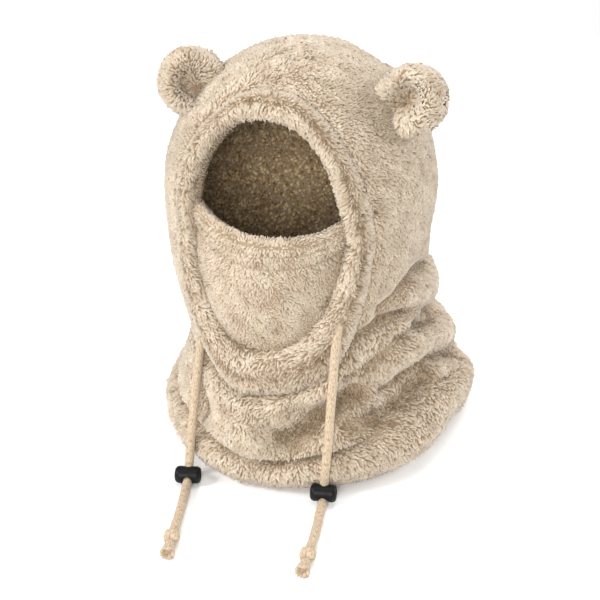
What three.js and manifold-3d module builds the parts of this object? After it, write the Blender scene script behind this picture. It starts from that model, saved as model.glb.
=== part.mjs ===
// A plush balaclava hood with two round ears, a face mask panel, a gathered neck and two
// drawcords. Millimetres, +Z up, the face toward -Y. The origin is the middle of the foot,
// on the surface that the hood stands on.

import * as THREE from "three";
import { mergeVertices } from "three/addons/utils/BufferGeometryUtils.js";
import Module from "manifold-3d";

const wasm = await Module();
wasm.setup();

// Sizes of the hood
const CROWN_HEIGHT = 307; // from the surface to the top of the crown
const HEAD_AXIS = { x: -17, y: 4 }; // where the head's middle stands over the foot
const HEAD = { halfWidth: 104, halfDepth: 107 };
const NECK = { halfWidth: 104, halfDepth: 109 };
const HEM = { halfWidth: 121, halfDepth: 128 };
const CLOTH = 6; // doubled plush
const GAP = 0.3; // clearance between pieces that touch

// Face opening and the padded band round it: azimuths in degrees, heights in mm
const FACE_AZIMUTH = 270;
const OPENING = { halfAngle: 32, bottom: 113, top: 276, lean: -6 };
const BAND = { sideAngle: 13, chinWidth: 35, topWidth: 13, thickness: 16, sunk: 3 };
const CHIN_TILT = 9; // how much lower the left end of the chin is than the middle

// Mask panel
const MASK = { middleHeight: 196, sideRise: 15, cloth: 5, sunk: 6, bulge: 6 };
const MASK_HEM = { height: 19, extra: 2.5 };

// Ears
const EAR = { radius: 22, thickness: 24, rise: 23, root: 22 };

// Hem
const HEM_BAND = { height: 32, thickness: 17, puff: 3, round: 7 };

// Folds
const FOLD_WIDTH = 13;
const FOLD_DEPTH = 9;
const SEAM_WIDTH = 9;
const SEAM_DEPTH = 7;

// Drawcords
const CORD_DIAMETER = 7;
const LOCK = { length: 20, diameter: 13.4, round: 3.6, boreClearance: 0.9, recess: 3.5, recessRadius: 3.6 };
const KNOT = { length: 9, diameter: 12.6 };
const TIP = { length: 13, diameter: 11, recess: 5, wall: 2 };

// Facets
const COLUMNS = 48;
const HOOD_ROWS = 16;
const NECK_ROWS = 14;

// Sections of the hood about the head's axis. The height is a share of the crown height,
// and each reach is a share of the named half width or half depth.
const SECTIONS = [
  { height: 0.0, girth: HEM, left: 0.8, right: 1.11, front: 1.035, back: 0.97 },
  { height: 0.06, girth: HEM, left: 0.865, right: 1.165, front: 1.075, back: 1.01 },
  { height: 0.12, girth: HEM, left: 0.81, right: 1.16, front: 1.045, back: 0.98 },
  { height: 0.18, girth: NECK, left: 0.87, right: 1.19, front: 1.16, back: 1.08 },
  { height: 0.25, girth: NECK, left: 0.84, right: 1.1, front: 1.09, back: 1.01 },
  { height: 0.34, girth: NECK, left: 0.85, right: 1.0, front: 1.07, back: 0.96 },
  { height: 0.44, girth: NECK, left: 0.92, right: 0.945, front: 1.06, back: 0.97 },
  { height: 0.54, girth: HEAD, left: 0.98, right: 0.95, front: 1.035, back: 1.03 },
  { height: 0.64, girth: HEAD, left: 1.0, right: 0.98, front: 0.96, back: 1.07 },
];
const DOME_POWER = 1.06;

// Height of the hood's lower edge, as a share of the crown height, how deep it is tucked, as a
// share of SEAM_DEPTH, and the height of the hem's seam, as a share of the hem height.
const EDGES = [
  { azimuth: 0, hood: 0.32, tuck: 0.6, hem: 1.35 },
  { azimuth: 18, hood: 0.275, tuck: 0.9, hem: 1.2 },
  { azimuth: 60, hood: 0.27, tuck: 0.9, hem: 1.1 },
  { azimuth: 105, hood: 0.285, tuck: 0.8, hem: 1.05 },
  { azimuth: 150, hood: 0.305, tuck: 0.7, hem: 1.1 },
  { azimuth: 195, hood: 0.33, tuck: 0.15, hem: 1.0 },
  { azimuth: 225, hood: 0.315, tuck: 0.3, hem: 1.05 },
  { azimuth: 243, hood: 0.272, tuck: 0.8, hem: 1.02 },
  { azimuth: 262, hood: 0.25, tuck: 1.0, hem: 0.83 },
  { azimuth: 277, hood: 0.262, tuck: 1.0, hem: 0.82 },
  { azimuth: 290, hood: 0.3, tuck: 1.0, hem: 1.0 },
  { azimuth: 303, hood: 0.357, tuck: 1.2, hem: 1.2 },
  { azimuth: 320, hood: 0.388, tuck: 1.4, hem: 1.48 },
  { azimuth: 336, hood: 0.392, tuck: 1.2, hem: 1.57 },
  { azimuth: 348, hood: 0.37, tuck: 0.4, hem: 1.52 },
];

// Folds of the cloth. A path runs through [azimuth, share of the crown height] points, the
// width is a share of FOLD_WIDTH and the rise of FOLD_DEPTH: a ridge rises, a crease falls.
const FOLDS = [
  {
    name: "upper roll",
    path: [[338, 0.425], [352, 0.405], [375, 0.365], [440, 0.36], [490, 0.38]],
    width: 1.1,
    rise: 0.7,
  },
  {
    name: "pocket above it",
    path: [[325, 0.43], [342, 0.478], [352, 0.465], [368, 0.42], [420, 0.415]],
    width: 0.6,
    rise: -0.85,
  },
  {
    name: "lower roll",
    path: [[334, 0.3], [350, 0.283], [363, 0.24], [374, 0.203], [390, 0.17], [450, 0.17]],
    width: 1.1,
    rise: 0.6,
  },
  {
    name: "crease between the rolls",
    path: [[330, 0.335], [345, 0.33], [360, 0.31]],
    width: 0.5,
    rise: -0.5,
  },
  {
    name: "crease under the rolls",
    path: [[318, 0.23], [346, 0.232], [360, 0.195], [373, 0.153], [384, 0.145], [440, 0.145]],
    width: 0.6,
    rise: -0.9,
  },
  { name: "right hollow", path: [[313, 0.188], [326, 0.205], [340, 0.2]], width: 1.1, rise: -0.9 },
  { name: "right hump", path: [[297, 0.175], [309, 0.215], [318, 0.245]], width: 0.9, rise: 0.5 },
  { name: "front ridge", path: [[266, 0.185], [282, 0.235], [298, 0.29]], width: 0.9, rise: 0.7 },
  { name: "front hollow", path: [[279, 0.15], [293, 0.195], [306, 0.242]], width: 0.95, rise: -1.0 },
  { name: "front swell", path: [[262, 0.13], [284, 0.125], [298, 0.15]], width: 0.8, rise: 0.35 },
  {
    name: "left front ridge",
    path: [[236, 0.255], [246, 0.236], [259, 0.181], [267, 0.145]],
    width: 1.1,
    rise: 0.45,
  },
  { name: "left hollow", path: [[196, 0.26], [210, 0.27], [228, 0.24], [238, 0.16]], width: 0.8, rise: -0.7 },
  { name: "left back roll", path: [[100, 0.22], [150, 0.23], [172, 0.2]], width: 1.1, rise: 0.6 },
  { name: "left back crease", path: [[110, 0.17], [160, 0.155], [186, 0.13]], width: 0.8, rise: -0.7 },
  { name: "drawn-in side of the hem", path: [[342, -0.03], [347, 0.06]], width: 2.4, rise: -1.0 },
  {
    name: "crease below the upper roll",
    path: [[345, 0.325], [360, 0.285], [378, 0.25], [430, 0.25]],
    width: 0.7,
    rise: -1.0,
  },
  { name: "drawn-in back of the hem", path: [[388, 0.09], [416, 0.08]], width: 1.3, rise: -0.7 },
  { name: "cheek fold", path: [[318, 0.46], [330, 0.6]], width: 0.8, rise: -0.2 },
];

// Each ear's root on the hood, and how far it turns outward
const EARS = [
  { side: "left", azimuth: 193, height: 0.885, rise: 0.6, turn: 24 },
  { side: "right", azimuth: 348, height: 0.876, rise: 1, turn: -12 },
];

// Routes of the cords, from the band's lower corners over the hem to the surface. The lock
// sits between the two points named by its index.
const CORDS = [
  {
    side: "left",
    lockAfter: 6,
    route: [
      [-71.9, -90.8, 98.8], [-72, -104.2, 75], [-71.8, -112.5, 58], [-72, -118, 43], [-72.5, -122, 29],
      [-72.3, -126.5, 17.5], [-71.2, -133.2, 10.7], [-68.4, -146.8, 4.1], [-66.3, -158, 4],
      [-63.2, -175, 4], [-60.3, -192, 5.3], [-58.2, -205, 5.5],
    ],
  },
  {
    side: "right",
    lockAfter: 6,
    route: [
      [37, -105, 114.7], [37.3, -111, 95], [37.6, -119, 73], [37.9, -125.5, 52], [37.5, -129.5, 36],
      [36.7, -130.6, 23], [36.6, -132, 13.9], [37.8, -140.9, 4.6], [38.9, -155, 4],
      [40.4, -168, 4], [41.7, -184, 5.3], [42.2, -198, 5.5],
    ],
  },
];

const degrees = Math.PI / 180;

/** Smooth curve through a table's rows, flat at its last row. */
function along(rows, key, value, at) {
  const last = rows.length - 1;
  const x = Math.min(Math.max(at, rows[0][key]), rows[last][key]);
  let k = 0;
  while (k < last - 1 && x >= rows[k + 1][key]) k += 1;
  const slope = (i) => {
    if (i === last) return 0;
    const a = rows[Math.max(i - 1, 0)];
    const b = rows[i + 1];
    return (value(b) - value(a)) / (b[key] - a[key]);
  };
  const step = rows[k + 1][key] - rows[k][key];
  const t = (x - rows[k][key]) / step;
  return (
    (2 * t ** 3 - 3 * t ** 2 + 1) * value(rows[k]) +
    (t ** 3 - 2 * t ** 2 + t) * step * slope(k) +
    (3 * t ** 2 - 2 * t ** 3) * value(rows[k + 1]) +
    (t ** 3 - t ** 2) * step * slope(k + 1)
  );
}

const ROUND_EDGES = [
  { ...EDGES[EDGES.length - 1], azimuth: EDGES[EDGES.length - 1].azimuth - 360 },
  ...EDGES,
  { ...EDGES[0], azimuth: 360 },
  { ...EDGES[1], azimuth: EDGES[1].azimuth + 360 },
];

const around = (azimuth) => ((azimuth % 360) + 360) % 360;

/** Share of the crown height at the hood's lower edge. */
const hoodEdge = (azimuth) => along(ROUND_EDGES, "azimuth", (row) => row.hood, around(azimuth));

/** How deep the hood's edge is tucked, as a share of SEAM_DEPTH. */
const tuck = (azimuth) => along(ROUND_EDGES, "azimuth", (row) => row.tuck, around(azimuth));

/** Share of the crown height at the hem's seam. */
const hemEdge = (azimuth) =>
  (along(ROUND_EDGES, "azimuth", (row) => row.hem, around(azimuth)) * HEM_BAND.height) / CROWN_HEIGHT;

const SHOULDER = SECTIONS[SECTIONS.length - 1].height;

/** The smooth body without its folds: turn is 0 at the foot, 1 at the shoulder, 2 at the crown. */
function plain(azimuth, turn) {
  const low = Math.min(turn, 1) * SHOULDER;
  const lift = Math.max(turn - 1, 0) * 90 * degrees;
  const shrink = Math.max(Math.cos(lift), 0) ** DOME_POWER;
  const reach = (side, size) => shrink * along(SECTIONS, "height", (row) => row[side] * row.girth[size], low);
  const c = Math.cos(azimuth * degrees);
  const s = Math.sin(azimuth * degrees);
  return new THREE.Vector3(
    HEAD_AXIS.x + c * reach(c > 0 ? "right" : "left", "halfWidth"),
    HEAD_AXIS.y + s * reach(s > 0 ? "back" : "front", "halfDepth"),
    CROWN_HEIGHT * (turn > 1 ? SHOULDER + (1 - SHOULDER) * Math.sin(lift) : low),
  );
}

/** Turn of a height share. */
const turnAt = (share) =>
  share <= SHOULDER
    ? share / SHOULDER
    : 1 + Math.asin(Math.min((share - SHOULDER) / (1 - SHOULDER), 1)) / (90 * degrees);

/** How far the cloth stands out of, or in from, the smooth body. */
function relief(azimuth, share) {
  const seam = (share - hoodEdge(azimuth)) * CROWN_HEIGHT;
  const hem = (share - hemEdge(azimuth)) * CROWN_HEIGHT;
  let out = -SEAM_DEPTH * tuck(azimuth) * Math.exp(-((seam / SEAM_WIDTH) ** 2));
  out -= 0.5 * SEAM_DEPTH * Math.exp(-((hem / (0.6 * SEAM_WIDTH)) ** 2));
  for (const fold of FOLDS) {
    let near = Infinity;
    for (let i = 0; i + 1 < fold.path.length; i += 1) {
      const [a0, s0] = fold.path[i];
      const [a1, s1] = fold.path[i + 1];
      const turns = Math.round((azimuth - (a0 + a1) / 2) / 360) * 360;
      const px = (azimuth - turns - a0) * degrees * HEAD.halfWidth;
      const pz = (share - s0) * CROWN_HEIGHT;
      const dx = (a1 - a0) * degrees * HEAD.halfWidth;
      const dz = (s1 - s0) * CROWN_HEIGHT;
      const t = Math.min(Math.max((px * dx + pz * dz) / (dx * dx + dz * dz), 0), 1);
      near = Math.min(near, Math.hypot(px - t * dx, pz - t * dz));
    }
    out += fold.rise * FOLD_DEPTH * Math.exp(-((near / (fold.width * FOLD_WIDTH)) ** 2));
  }
  return out;
}

/** Outward normal of the smooth body. */
function normal(azimuth, turn) {
  if (turn > 1.995) return new THREE.Vector3(0, 0, 1);
  const east = plain(azimuth + 0.5, turn).sub(plain(azimuth - 0.5, turn));
  const up = plain(azimuth, Math.min(turn + 0.004, 2)).sub(plain(azimuth, Math.max(turn - 0.004, 0)));
  return east.cross(up).normalize();
}

/** Point of the smooth body moved out along its normal. */
function plainSkin(azimuth, share, out) {
  const turn = turnAt(share);
  return plain(azimuth, turn).addScaledVector(normal(azimuth, turn), out);
}

/** Point of the folded cloth's outer side. */
const outside = (azimuth, share) => plainSkin(azimuth, share, relief(azimuth, share));

/** Point of the cloth's inner side, which follows the creases but not the ridges. */
const inside = (azimuth, share) => plainSkin(azimuth, share, Math.min(relief(azimuth, share), 0) - CLOTH);

/** Closed solid woven through rings of points; a ring may shrink to a point. */
function weave(rings, closed) {
  const points = [];
  const index = [];
  const ids = rings.map((ring) => {
    const single = ring.every((p) => p.distanceTo(ring[0]) < 1e-4);
    return ring.map((p, i) => {
      if (single && i > 0) return points.length - 1;
      points.push(p);
      return points.length - 1;
    });
  });
  const face = (a, b, c) => {
    if (a !== b && b !== c && c !== a) index.push(a, b, c);
  };
  const last = closed ? rings.length : rings.length - 1;
  for (let r = 0; r < last; r += 1) {
    const low = ids[r];
    const high = ids[(r + 1) % rings.length];
    for (let i = 0; i < low.length; i += 1) {
      const j = (i + 1) % low.length;
      const rising = points[low[i]].distanceTo(points[high[j]]);
      const falling = points[low[j]].distanceTo(points[high[i]]);
      if (rising <= falling) {
        face(low[i], low[j], high[j]);
        face(low[i], high[j], high[i]);
      } else {
        face(low[i], low[j], high[i]);
        face(low[j], high[j], high[i]);
      }
    }
  }
  const geometry = new THREE.BufferGeometry().setFromPoints(points);
  geometry.setIndex(index);
  return geometry;
}

/** Ring of points at equal azimuths. */
const ring = (point) =>
  Array.from({ length: COLUMNS }, (_, i) => point((i * 360) / COLUMNS));

/** The geometry as a solid that can be cut. */
function solid(geometry) {
  const bare = geometry.clone();
  for (const name of ["normal", "uv"]) bare.deleteAttribute(name);
  const merged = mergeVertices(bare, 1e-4);
  return new wasm.Manifold(
    new wasm.Mesh({
      numProp: 3,
      vertProperties: Float32Array.from(merged.getAttribute("position").array),
      triVerts: Uint32Array.from(merged.getIndex().array),
    }),
  );
}

/** The solid as a geometry. */
function shape(body) {
  const mesh = body.getMesh();
  const geometry = new THREE.BufferGeometry();
  geometry.setAttribute("position", new THREE.Float32BufferAttribute(mesh.vertProperties, 3));
  geometry.setIndex(Array.from(mesh.triVerts));
  return geometry;
}

// Face opening: loops in azimuth and height, ovals that are squarer at the brow than at the chin
const LOOP_POWER = { chin: 2.4, brow: 3 };

/** Azimuth and height share on an oval round the face; the chin droops at the left. */
function oval(angle, halfAngle, bottom, top) {
  const c = Math.cos(angle * degrees);
  const s = Math.sin(angle * degrees);
  const power = 2 / (s > 0 ? LOOP_POWER.brow : LOOP_POWER.chin);
  const across = Math.sign(c) * Math.abs(c) ** power;
  const height = Math.sign(s) * Math.abs(s) ** power;
  const droop = Math.max(-height, 0) * across * CHIN_TILT;
  return {
    azimuth: FACE_AZIMUTH + halfAngle * across + OPENING.lean * Math.max(height, 0),
    share: ((bottom + top) / 2 + ((top - bottom) / 2) * height + droop) / CROWN_HEIGHT,
  };
}

const innerLoop = (angle) => oval(angle, OPENING.halfAngle, OPENING.bottom, OPENING.top);
const outerLoop = (angle) =>
  oval(
    angle,
    OPENING.halfAngle + BAND.sideAngle,
    OPENING.bottom - BAND.chinWidth,
    OPENING.top + BAND.topWidth,
  );

/** The padded band: an oval section swept round the opening, made larger by grow. */
function bandGeometry(grow) {
  const rounds = 44;
  const sides = 8;
  const rings = Array.from({ length: sides }, () => []);
  for (let i = 0; i < rounds; i += 1) {
    const angle = (i * 360) / rounds;
    const edges = [innerLoop(angle), outerLoop(angle)].map((at) =>
      plainSkin(at.azimuth, at.share, -BAND.sunk),
    );
    const middle = edges[0].clone().add(edges[1]).multiplyScalar(0.5);
    const half = edges[1].clone().sub(edges[0]).multiplyScalar(0.5);
    half.setLength(half.length() + grow);
    const at = {
      azimuth: (innerLoop(angle).azimuth + outerLoop(angle).azimuth) / 2,
      share: (innerLoop(angle).share + outerLoop(angle).share) / 2,
    };
    const up = normal(at.azimuth, turnAt(at.share)).multiplyScalar(BAND.thickness / 2 + grow);
    const crown = plainSkin(at.azimuth, at.share, -BAND.sunk);
    for (let k = 0; k < sides; k += 1) {
      const turn = ((k + 0.5) * 360 * degrees) / sides;
      const arch = crown.clone().sub(middle).multiplyScalar(Math.sin(turn) ** 2);
      rings[k].push(
        middle.clone().addScaledVector(half, -Math.cos(turn)).addScaledVector(up, Math.sin(turn)).add(arch),
      );
    }
  }
  return weave(rings.reverse(), true);
}

/** Plug through the hood's wall inside the band's middle line. */
function facePlug() {
  const rounds = 44;
  const loop = (out) =>
    Array.from({ length: rounds }, (_, i) => {
      const a = innerLoop((i * 360) / rounds);
      const b = outerLoop((i * 360) / rounds);
      return plainSkin((a.azimuth + b.azimuth) / 2, (a.share + b.share) / 2, out);
    });
  const heart = (out) => {
    const share = (OPENING.bottom + OPENING.top) / 2 / CROWN_HEIGHT;
    return Array.from({ length: rounds }, () => plainSkin(FACE_AZIMUTH, share, out));
  };
  return weave([heart(-50), loop(-40), loop(45), heart(60)], false);
}

const band = solid(bandGeometry(0));
const bandRoom = solid(bandGeometry(GAP));

/** Heights of rows from the hood's edge to the crown, closer together near the top. */
const hoodShare = (azimuth, row) => {
  const low = turnAt(hoodEdge(azimuth) + GAP / 2 / CROWN_HEIGHT);
  const turn = low + (2 - low) * (row / HOOD_ROWS) ** 1.25;
  return turn <= 1 ? turn * SHOULDER : SHOULDER + (1 - SHOULDER) * Math.sin((turn - 1) * 90 * degrees);
};
const hoodRows = Array.from({ length: HOOD_ROWS + 1 }, (_, row) => row);
const hoodCloth = solid(
  weave(
    [
      ...hoodRows.map((row) => ring((azimuth) => outside(azimuth, hoodShare(azimuth, row)))),
      ...hoodRows.reverse().map((row) => ring((azimuth) => inside(azimuth, hoodShare(azimuth, row)))),
    ],
    true,
  ),
);
const hood = hoodCloth.subtract(solid(facePlug())).subtract(bandRoom);

/** The neck from the hem's seam to the hood's edge. */
const neckShare = (azimuth, row) => {
  const low = hemEdge(azimuth) + GAP / 2 / CROWN_HEIGHT;
  const high = hoodEdge(azimuth) - GAP / 2 / CROWN_HEIGHT;
  return low + ((high - low) * row) / NECK_ROWS;
};
const neckRows = Array.from({ length: NECK_ROWS + 1 }, (_, row) => row);
const neck = solid(
  weave(
    [
      ...neckRows.map((row) => ring((azimuth) => outside(azimuth, neckShare(azimuth, row)))),
      ...neckRows.reverse().map((row) => ring((azimuth) => inside(azimuth, neckShare(azimuth, row)))),
    ],
    true,
  ),
).subtract(bandRoom);

// Section of the rolled hem, flat where it rests: the height as a share of the hem's height,
// how far it stands out, and whether it is on the hem's inner side.
const HEM_PROFILE = [
  { up: 0, out: -HEM_BAND.round, inner: false },
  { up: 0.1, out: -HEM_BAND.round * 0.35, inner: false },
  { up: 0.3, out: HEM_BAND.puff * 0.7, inner: false },
  { up: 0.55, out: HEM_BAND.puff, inner: false },
  { up: 0.8, out: HEM_BAND.puff * 0.4, inner: false },
  { up: 1, out: 0, inner: false },
  { up: 1, out: -CLOTH, inner: true },
  { up: 1, out: -HEM_BAND.thickness, inner: true },
  { up: 0.5, out: -HEM_BAND.thickness - HEM_BAND.puff, inner: true },
  { up: 0, out: -HEM_BAND.thickness - HEM_BAND.round * 0.3, inner: true },
];

/** Point of the hem's section; its inner side follows the creases but not the ridges. */
function hemPoint(azimuth, row) {
  const share = (hemEdge(azimuth) - GAP / 2 / CROWN_HEIGHT) * row.up;
  const fold = relief(azimuth, share);
  const out = row.out + (row.inner ? Math.min(fold, 0) : fold);
  if (row.up === 1) return plainSkin(azimuth, share, out);
  const away = new THREE.Vector3(Math.cos(azimuth * degrees), Math.sin(azimuth * degrees), 0);
  return plain(azimuth, turnAt(share)).addScaledVector(away, out);
}
const hemRings = HEM_PROFILE.map((row) => ring((azimuth) => hemPoint(azimuth, row)));
const hem = solid(weave(hemRings, true));

/** The mask panel, tucked behind the band's inner edge; its top edge has a padded hem. */
function maskGeometry() {
  const across = 12;
  const rows = 11;
  const topAt = (u) => (MASK.middleHeight + MASK.sideRise * u * u) / CROWN_HEIGHT;
  const loopBottom = (OPENING.bottom - 0.5 * BAND.chinWidth) / CROWN_HEIGHT;
  const loopTop = (OPENING.top + 0.5 * BAND.topWidth) / CROWN_HEIGHT;
  const bottom = loopBottom + 0.02 * (loopTop - loopBottom);
  const azimuthAt = (u, share) => {
    const height = (2 * share - loopTop - loopBottom) / (loopTop - loopBottom);
    const width = (1 - Math.abs(height) ** LOOP_POWER.chin) ** (1 / LOOP_POWER.chin);
    const reach = (OPENING.halfAngle + 0.5 * BAND.sideAngle) * width;
    return FACE_AZIMUTH + u * reach + OPENING.lean * Math.max(height, 0);
  };
  const hemShare = MASK_HEM.height / CROWN_HEIGHT;
  const at = (i, j, side) => {
    const u = (2 * i) / across - 1;
    const top = topAt(u);
    const hemRows = 4;
    const share =
      j > rows - hemRows
        ? top - (hemShare * (rows - j)) / hemRows
        : bottom + ((top - hemShare - bottom) * j) / (rows - hemRows);
    const v = (share - bottom) / (top - bottom);
    const roll = share > top - hemShare ? Math.sin((180 * degrees * (top - share)) / hemShare) : 0;
    const crown = (1 - u * u) * Math.sin(Math.min(v, 1) * 150 * degrees);
    const pad = j === rows ? 0.55 : 1;
    const thick = (pad * MASK.cloth) / 2 + MASK_HEM.extra * roll;
    const depth = -MASK.sunk + MASK.bulge * crown + side * thick;
    return plainSkin(azimuthAt(u, share), share, depth);
  };
  const count = { across: across + 1, rows: rows + 1 };
  const rings = Array.from({ length: count.rows }, (_, j) => {
    const front = Array.from({ length: count.across }, (_, i) => at(i, j, 1));
    const back = Array.from({ length: count.across }, (_, i) => at(across - i, j, -1));
    return [...front, ...back];
  });
  const middle = (line) => {
    const sum = line.reduce((total, p) => total.add(p), new THREE.Vector3());
    return sum.divideScalar(line.length);
  };
  const closing = (line) => {
    const seamLine = line.map((p, i) => middle([p, line[line.length - 1 - i]]));
    return seamLine;
  };
  return weave([closing(rings[0]), ...rings, closing(rings[count.rows - 1])], false);
}
const mask = solid(maskGeometry()).subtract(bandRoom);

/** The crown as one block, to cut the ears' roots to the hood's outside. */
const block = solid(
  weave(
    [
      ring(() => new THREE.Vector3(HEAD_AXIS.x, HEAD_AXIS.y, 0.5 * CROWN_HEIGHT)),
      ...Array.from({ length: HOOD_ROWS + 1 }, (_, row) =>
        ring((azimuth) => {
          const share = hoodShare(azimuth, row);
          const turn = turnAt(share);
          return plain(azimuth, turn).addScaledVector(normal(azimuth, turn), relief(azimuth, share) + GAP);
        }),
      ),
    ],
    false,
  ),
);

// Section of an ear from the middle of its back to the middle of its hollow front: the
// radius as a share of the ear's radius, the depth of its thickness or its hollow.
const EAR_PROFILE = [
  { radius: 0, depth: -0.42 },
  { radius: 0.5, depth: -0.4 },
  { radius: 0.84, depth: -0.26 },
  { radius: 1, depth: 0.02 },
  { radius: 0.93, depth: 0.32 },
  { radius: 0.74, depth: 0.5 },
  { radius: 0.52, depth: 0.38 },
  { radius: 0.34, depth: 0.12 },
  { radius: 0.2, depth: 0 },
  { radius: 0, depth: 0 },
];

/** An ear: a cupped disc on a root, open toward the face and to its root. */
function earSolid(ear) {
  const turn = turnAt(ear.height);
  const anchor = plain(ear.azimuth, turn);
  const up = normal(ear.azimuth, turn);
  const across = plain(ear.azimuth, turn + 0.01)
    .sub(anchor)
    .normalize()
    .applyAxisAngle(up, ear.turn * degrees);
  const front = new THREE.Vector3().crossVectors(across, up).normalize();
  if (front.y > 0) {
    across.negate();
    front.negate();
  }
  const heart = anchor.clone().addScaledVector(up, EAR.rise * ear.rise);
  const rounds = 20;
  const rings = EAR_PROFILE.map((row) =>
    Array.from({ length: rounds }, (_, i) => {
      const angle = (i * 360 * degrees) / rounds;
      const low = Math.max(-Math.sin(angle), 0);
      const radius = row.radius * EAR.radius;
      const depth = row.depth * EAR.thickness * (row.depth > 0 ? 1 - 0.45 * low * low : 1);
      return heart
        .clone()
        .addScaledVector(across, radius * Math.cos(angle))
        .addScaledVector(up, radius * Math.sin(angle) - low * row.radius * EAR.root)
        .addScaledVector(front, depth);
    }),
  );
  return solid(weave(rings, false)).subtract(block).subtract(bandRoom);
}

/** A round section for a tube. */
const disc = (radius, sides) =>
  new THREE.Shape(
    Array.from({ length: sides }, (_, i) => {
      const angle = (i * 360 * degrees) / sides;
      return new THREE.Vector2(radius * Math.cos(angle), radius * Math.sin(angle));
    }),
  );

const point = (place) => new THREE.Vector3(...place);

const plush = new THREE.MeshStandardMaterial({ color: 0xdac9ae, roughness: 1, metalness: 0 });
const cordCloth = new THREE.MeshStandardMaterial({ color: 0xd8bf98, roughness: 0.9, metalness: 0 });
const lockPlastic = new THREE.MeshStandardMaterial({ color: 0x17181a, roughness: 0.45, metalness: 0 });

const model = new THREE.Group();

function add(name, geometry, material, parent = model) {
  const mesh = new THREE.Mesh(geometry, material);
  mesh.name = name;
  parent.add(mesh);
  return mesh;
}

add("hood_shell", shape(hood), plush);
add("face_band", shape(band), plush);
add("face_mask", shape(mask), plush);
add("neck_gaiter", shape(neck), plush);
add("hem_band", shape(hem), plush);
for (const ear of EARS) add(`ear_${ear.side}`, shape(earSolid(ear)), plush);

/** Barrel of a cord lock along its own X, with a blind recess at its right end. */
function lockGeometry() {
  const r = LOCK.diameter / 2;
  const h = LOCK.length / 2;
  const profile = [
    [0, -h], [r - LOCK.round, -h], [r - 0.3 * LOCK.round, -h + 0.3 * LOCK.round], [r, -h + LOCK.round],
    [r, h - LOCK.round], [r - 0.3 * LOCK.round, h - 0.3 * LOCK.round], [r - 0.8 * LOCK.round, h],
    [LOCK.recessRadius, h], [LOCK.recessRadius - 0.6, h - LOCK.recess], [0, h - LOCK.recess],
  ];
  const barrel = new THREE.LatheGeometry(profile.map(([x, y]) => new THREE.Vector2(x, y)), 16);
  barrel.rotateZ(-90 * degrees);
  const bore = new THREE.CylinderGeometry(
    CORD_DIAMETER / 2 + LOCK.boreClearance,
    CORD_DIAMETER / 2 + LOCK.boreClearance,
    2 * LOCK.diameter,
    16,
  );
  return shape(solid(barrel).subtract(solid(bore)));
}

/** Knot in the cord's end, round its own Y. */
function knotGeometry() {
  const r = KNOT.diameter / 2;
  const h = KNOT.length / 2;
  const c = CORD_DIAMETER / 2;
  const profile = [
    [0, -h], [c + 0.4, -h], [r - 0.8, -0.62 * h], [r, 0], [r - 0.8, 0.62 * h], [c + 0.4, h], [0, h],
  ];
  return new THREE.LatheGeometry(profile.map(([x, y]) => new THREE.Vector2(x, y)), 14);
}

/** Flared cut end of the cord, round its own Y, hollow at its mouth. */
function tipGeometry() {
  const r = TIP.diameter / 2;
  const h = TIP.length / 2;
  const c = CORD_DIAMETER / 2;
  const profile = [
    [0, -h], [c * 0.8, -h], [c, -0.55 * h], [c + 0.5, 0], [r, 0.9 * h], [r - 0.3 * TIP.wall, h],
    [r - TIP.wall, h], [c * 0.6, h - TIP.recess], [0, h - TIP.recess],
  ];
  return new THREE.LatheGeometry(profile.map(([x, y]) => new THREE.Vector2(x, y)), 14);
}

for (const cord of CORDS) {
  const route = cord.route.map(point);
  const path = new THREE.CatmullRomCurve3(route, false, "centripetal");
  const steps = Math.round(path.getLength() / (2 * CORD_DIAMETER));
  const tube = new THREE.ExtrudeGeometry(disc(CORD_DIAMETER / 2, 8), {
    steps,
    extrudePath: path,
    bevelEnabled: false,
  });
  add(`cord_${cord.side}`, shape(solid(tube)), cordCloth);

  const before = route[cord.lockAfter];
  const after = route[cord.lockAfter + 1];
  const through = after.clone().sub(before).normalize();
  const lock = add(`cord_lock_${cord.side}`, lockGeometry(), lockPlastic);
  lock.position.copy(before).add(after).multiplyScalar(0.5);
  const sideways = new THREE.Vector3().crossVectors(new THREE.Vector3(0, 0, 1), through).normalize();
  lock.quaternion.setFromRotationMatrix(
    new THREE.Matrix4().makeBasis(sideways, through, new THREE.Vector3().crossVectors(sideways, through)),
  );

  const end = route[route.length - 1];
  const heading = path.getTangent(1).setZ(0).normalize();
  const turned = new THREE.Quaternion().setFromUnitVectors(new THREE.Vector3(0, 1, 0), heading);
  const knot = add(`cord_knot_${cord.side}`, knotGeometry(), cordCloth);
  knot.quaternion.copy(turned);
  knot.position.copy(end).addScaledVector(heading, KNOT.length / 2 + GAP).setZ(KNOT.diameter / 2 + GAP);
  const tip = add(`cord_tip_${cord.side}`, tipGeometry(), cordCloth);
  tip.quaternion.copy(turned);
  tip.position
    .copy(end)
    .addScaledVector(heading, KNOT.length + TIP.length / 2 + 2 * GAP)
    .setZ(TIP.diameter / 2 + GAP);
}

export default model;
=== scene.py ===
import math

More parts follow.
